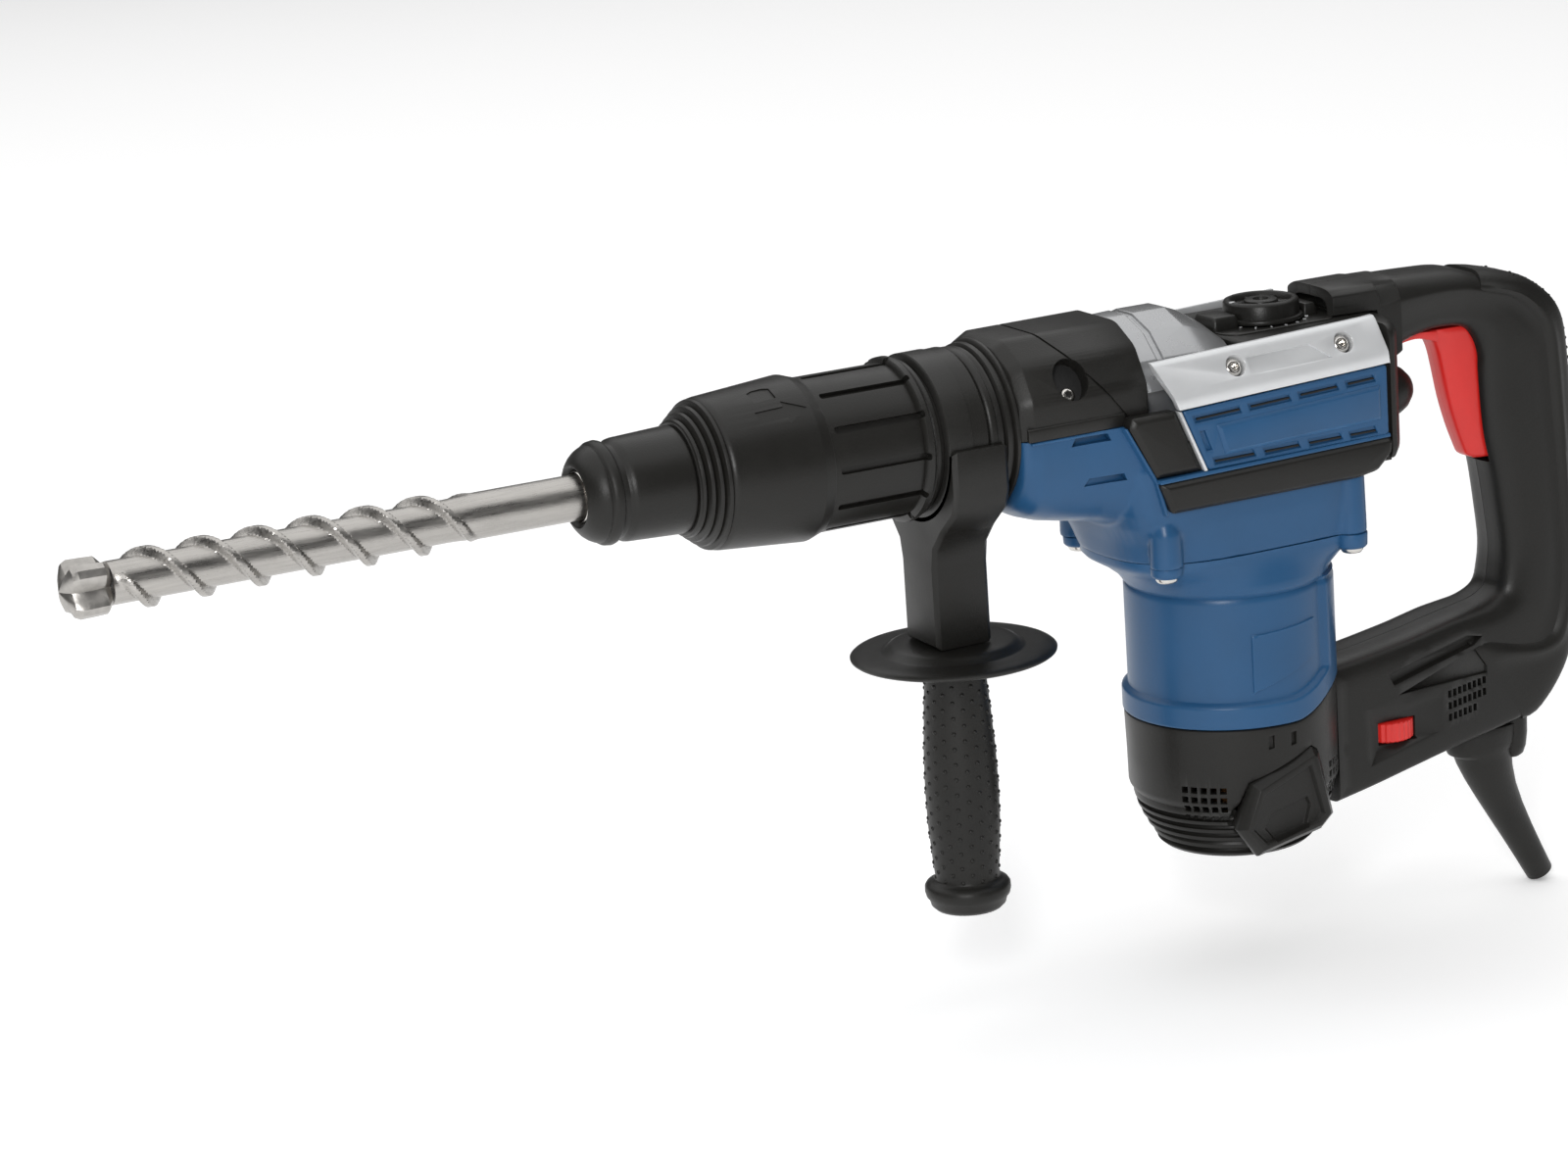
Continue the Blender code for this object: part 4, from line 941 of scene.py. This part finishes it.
tube = []
for numbers in handle_path:
    centre, half, width, line = section_at(numbers)
    tube.append([(centre.x + half.x * u, -0.15 - (width - 0.15) * share, centre.y + half.y * u) for u,
        share in line])
collar = [[(x, -0.15 - 16.75 * share, z0 + (z1 - z0) * (u + 1) / 2) for u, share in open_chaikin(COLLAR)]
    for x, z0, z1 in ((350.7, 21.6, 32.9), (351.6, 21.6, 33.2), (372.6, 20.8, 33.2), (374.4, -4.4, 33.15),
    (384, 0.4, 32.9), (384.6, 0.9, 32.4))]
finger_slot = box(417, 446, -8.6, 8.6, -55.4, 6.2)
arch_hole = bar(rounded(-12.5, 12.5, 12, 28.6, 6), (340, 361))


def side_pocket(outline, depth, lean):
    return loft([[(x, -19.9, z) for x, z in outline], [(x, -16.9, z) for x, z in outline],
        [(x, -16.9 + depth, z) for x, z in inset(outline, lean)]])


long_recess = [(371.6, -136.6), (374.6, -142), (415.5, -132), (420.6, -128.6), (412.2, -126.8)]
window_recess = [(376.4, -146.6), (422.4, -145.2), (422.6, -133.2), (419, -132.6)]
dial_recess = [(361, -150.6), (398.6, -151.6), (397.6, -166.6), (361.4, -175.4)]
side_cuts = [side_pocket(long_recess, 3, 0.5), side_pocket(window_recess, 1.8, 0.3)]
small_vents = []
for row in range(3):
    for column in range(8):
        if row == 2 and column > 5:
            continue
        x0 = 402 + column * 2.55
        z0 = -149.6 - row * 5.2 + column * 0.42
        small_vents.append(box(x0, x0 + 1.75, -22, -14.6, z0 - 3.2, z0))
side_cuts.append(merged(*small_vents))
for side in ("left", "right"):
    flip = (lambda s: s) if side == "left" else mirrored
    cuts = [finger_slot, arch_hole] + [flip(c) for c in side_cuts]
    if side == "left":
        # The dial sits at the bottom of a pyramid whose four walls lean inwards.
        cuts.append(loft([[(x, -20, z) for x, z in dial_recess], [(x, -16.9, z) for x, z in dial_recess],
            [(x, -14, z) for x, z in ((366.4, -157.4), (387.2, -157.8), (387.2, -166.9), (366.4, -170))]]))
        cuts.append(box(367.4, 386.4, -20, -8, -168.2, -158))
    add(f"handle_body_{side}", flip(loft(tube)), BLACK, f"handle_shell_{side}", adds=[flip(loft(collar))],
        cuts=cuts, bevel=0.25, sharp=34, angle=40)


def grip_edge(share):
    """Where the soft grip's edge runs on the handle's side, along the grip from 0 to 1."""
    return 0.42 - 0.9 * smooth_step(0.8, 0.97, share)


soft = handle_path[15:74]
grip_rings = []
for k, numbers in enumerate(soft):
    centre, half, width, line = section_at(numbers)
    share = k / (len(soft) - 1)
    edge = grip_edge(share)
    side_line = [p for p in line if p[0] > edge]
    before, after = line[len(side_line) - 1], line[len(side_line)]
    t = (edge - before[0]) / (after[0] - before[0])
    side_line.append((edge, before[1] + (after[1] - before[1]) * t))
    lengths = [0]
    for a, b in zip(side_line, side_line[1:]):
        lengths.append(lengths[-1] + hypot(b[0] - a[0], b[1] - a[1]))
    arc_points = []
    for i in range(25):
        goal = lengths[-1] * i / 24
        j = max(n for n in range(len(lengths)) if lengths[n] <= goal + 1e-9)
        j = min(j, len(side_line) - 2)
        t = (goal - lengths[j]) / max(1e-9, lengths[j + 1] - lengths[j])
        arc_points.append((side_line[j][0] + (side_line[j + 1][0] - side_line[j][0]) * t, side_line[j][1]
            + (side_line[j + 1][1] - side_line[j][1]) * t))
    swell = smooth_step(0, 0.03, share) * (1 - smooth_step(0.97, 1, share))
    depth = half.length
    skin, core = [], []
    for i, (u, y) in enumerate(arc_points):
        rim = 1 - smooth_step(0.96, 1, i / 24)
        lift = (1.5 + 0.9 * swell) * (0.15 + 0.85 * smooth_step(edge, 1, u))
        side_lift = swell * rim * (0.7 + 1.5 * exp(-((i - 21) / 1.5) ** 2)) - 0.5 * (1 - rim)
        skin.append((u + lift / depth * (0.3 + 0.7 * rim), y + side_lift / width))
        core.append((u - 3 / depth, y * 0.8))
    full = skin[::-1] + [(u, -y) for u, y in skin[1:]] + [(u, -y) for u, y in core[::-1]] + core[1:]
    grip_rings.append([(centre.x + half.x * u, -width * y, centre.y + half.y * u) for u, y in full])
add("soft_grip_body", loft(grip_rings), RUBBER, "soft_grip", bevel=0, sharp=48)
back = [(446, 25.5), (456.6, 20.6), (466, 12.6), (471.2, 2), (473.6, -14), (474.6, -32), (475.4, -54),
    (476, -78), (476.2, -100), (475.4, -118), (472.6, -134.6), (467.4, -149)]


def along(path, spacing):
    """Points at equal spacing along an open path, with the direction to its left."""
    result, carry = [], 0
    for a, b in zip(path, path[1:]):
        a, b = Vector(a), Vector(b)
        length = (b - a).length
        d = (b - a) / length
        while carry < length:
            result.append((a + d * carry, Vector((-d.y, d.x))))
            carry += spacing
        carry -= length
    return result


dots = []
for y in (-11.4, -8.6, 8.6, 11.4):
    for p, left in along(open_chaikin(back, 3, 0.25), 4.4):
        out = Vector((left.x, 0, left.y))
        base = Vector((p.x, y, p.y)) - out * (0.9 if abs(y) > 10 else 0.35)
        dots.append(dome(base, out + Vector((0, y * 0.03, 0)), 0.8, 0.6, 8))
add("soft_grip_dots", merged(*dots), RUBBER, bevel=0)

# ---- trigger, dial and cable sleeve
def trigger_ring(z, front, rear, narrow=1):
    half = [(front, 0), (front + 0.15, 3.4), (front + 0.9, 5 * narrow), (front + 2.2, 5.9 * narrow),
        (front + 8, 7.9 * narrow), (rear, 7.9 * narrow)]
    line = open_chaikin(half)
    return [(x, -y, z) for x, y in line] + [(x, y, z) for x, y in line[:0:-1]]


lever_rows = smooth_path([(5.6, 403, 432.6, 0.94), (3.8, 405.6, 433.6, 1), (0.5, 408.2, 434.2, 1),
    (-5, 410.4, 434.4, 1), (-14, 412.4, 434.6, 1), (-26, 414.9, 434.8, 1), (-38, 418.4, 435, 0.97),
    (-47, 421.8, 435.2, 0.93), (-51.6, 424, 435.4, 0.9), (-53.4, 427.6, 435.6, 0.82)], 3)
add("trigger_body", loft([trigger_ring(*row) for row in lever_rows]), RED, "trigger", "switch_lever",
    bevel=0.15, sharp=50)
lip = smooth_path([(409, 5.2, 0.6, 7.6), (400, 5.9, 3.2, 7.4), (393, 4.9, 2.8, 7), (388, 3.3, 1.4, 6.4),
    (385, 1.9, 0.6, 5.6)], 4)
add("trigger_lip", loft([[(x, -w, t), (x, w, t), (x, w * 0.94, b), (x, -w * 0.94, b)] for x, t, b, w in lip]),
    RED, body="switch_lever", bevel=0.2)
dial_centre = (377, -5.3, 0)


def knurl(turn):
    return 0.22 * cos(30 * turn)


add("dial_body", lathe([(-167.4, 0), (-167.4, 11.1), (-166.8, 11.8), (-159.2, 11.8), (-158.6, 11.1),
    (-158.6, 0)], "Z", dial_centre, 180, wave=knurl), RED, "speed_dial", "dial", bevel=0)
boot_path = [(430.4, -172.6, 0, 19, 13.4), (430.3, -176, 2, 18.6, 13.4), (430.2, -180.6, 5, 17.6, 13.2),
    (430.2, -183.4, 7, 16.2, 12.8), (430.6, -185, 9, 13.4, 12.2), (431.2, -188.6, 12, 12.6, 11.8),
    (433.4, -196, 17, 11, 10.6), (437, -205, 21, 9.4, 9.2), (441.8, -215, 24, 8.2, 8), (447.6, -226, 27, 7.2,
    7.1), (453.4, -236.8, 28.5, 6.5, 6.5), (459, -247.2, 29, 6, 6)]
sections = []
for x, z, tilt, rx, ry in boot_path:
    a = radians(tilt)
    sections.append([(x + rx * p * cos(a), ry * q, z + rx * p * sin(a)) for p, q in circle(1, 64)])
boot_tilt = radians(29)
recess = [[(459 + s * sin(boot_tilt) + p * cos(boot_tilt), q, -247.2 - s * cos(boot_tilt) + p
    * sin(boot_tilt)) for p, q in circle(3.9, 32)] for s in (-3.5, 6)]
add("boot_body", loft(sections), RUBBER, "cable_boot", cuts=[loft(recess)], bevel=0.2, sharp=50)
add("boot_lobe", loft([[(442.5 + p * 0.62, q, z) for p, q in circle(r, 48)] for z,
    r in ((-166, 12.6), (-171, 12.9), (-178, 12.8), (-184, 11.9), (-187.6, 10.4), (-189.4, 8))]), RUBBER,
    bevel=0.3)

# ---- carried-over CAD nodes
LOOK_OF = {"black_plastic": BLACK, "black_rubber": RUBBER, "blue_shell": BLUE, "silver_trim": SILVER,
    "tool_steel": CHROME, "carbide": CARBIDE, "cast_aluminium": ALLOY, "copper_iron": COPPER,
    "red_plastic": RED, "graphite": GRAPHITE}
slot_of = {part["node"]: part["material_slot"] for part in frame["record"]["subparts"]}
for name, obj in frame["nodes"].items():
    obj.data.materials.clear()
    obj.data.materials.append(LOOK_OF[slot_of[name]])

# ---- floor, light and camera
scene = bpy.context.scene
floor_z = cad_box[0][2] - 0.0005
mesh = bpy.data.meshes.new("floor")
mesh.from_pydata([(-14, -10, floor_z), (14, -10, floor_z), (14, 18, floor_z), (-14, 18, floor_z)], [],
    [(0, 1, 2, 3)])
floor = bpy.data.objects.new("floor", mesh)
scene.collection.objects.link(floor)
pale = bpy.data.materials.new("pale_floor")
pale.use_nodes = True
for key, value in (("Base Color", (0.93, 0.93, 0.93, 1)), ("Roughness", 0.8),
        ("Emission Color", (1, 1, 1, 1)), ("Emission Strength", 0.25)):
    pale.node_tree.nodes["Principled BSDF"].inputs[key].default_value = value
mesh.materials.append(pale)

world = bpy.data.worlds.new("studio")
scene.world = world
world.use_nodes = True
world.node_tree.nodes["Background"].inputs["Color"].default_value = (1, 1, 1, 1)
world.node_tree.nodes["Background"].inputs["Strength"].default_value = 0.1
scene.view_settings.view_transform = "Standard"


def area_light(name, place, target, size, power, size_y):
    data = bpy.data.lights.new(name, "AREA")
    data.energy, data.shape, data.size, data.size_y = power, "RECTANGLE", size, size_y
    lamp = bpy.data.objects.new(name, data)
    lamp.location = place
    lamp.rotation_euler = (Vector(target) - Vector(place)).to_track_quat("-Z", "Y").to_euler()
    scene.collection.objects.link(lamp)


middle = (-0.05, 0, 0.1)
area_light("sky", (-0.2, 1.3, 2.6), (-0.05, 1.3, 0), 6, 150, 6.4)
area_light("key", (-1.15, -1.55, 0.9), middle, 0.28, 20, 0.7)
area_light("edge", (0.9, -1.5, 0.9), middle, 0.2, 0.5, 0.9)

AZIMUTH, ELEVATION, ROLL = (radians(a) for a in (-26.0018, 14.8456, -4.0571))
back_dir = Vector((sin(AZIMUTH) * cos(ELEVATION), -cos(AZIMUTH) * cos(ELEVATION), sin(ELEVATION)))
right_dir = Vector((cos(AZIMUTH), sin(AZIMUTH), 0))
up_dir = back_dir.cross(right_dir)
cam_right = right_dir * cos(ROLL) + up_dir * sin(ROLL)
cam_up = up_dir * cos(ROLL) - right_dir * sin(ROLL)
lens = bpy.data.cameras.new("camera")
lens.sensor_width = 36
lens.lens = 103.17
lens.clip_start, lens.clip_end = 0.05, 60
camera = bpy.data.objects.new("camera", lens)
turn = Matrix((cam_right, cam_up, back_dir)).transposed().to_4x4()
camera.matrix_world = Matrix.Translation(to_frame((-658.1, -1550.39, 405.19))) @ turn
scene.collection.objects.link(camera)
scene.camera = camera
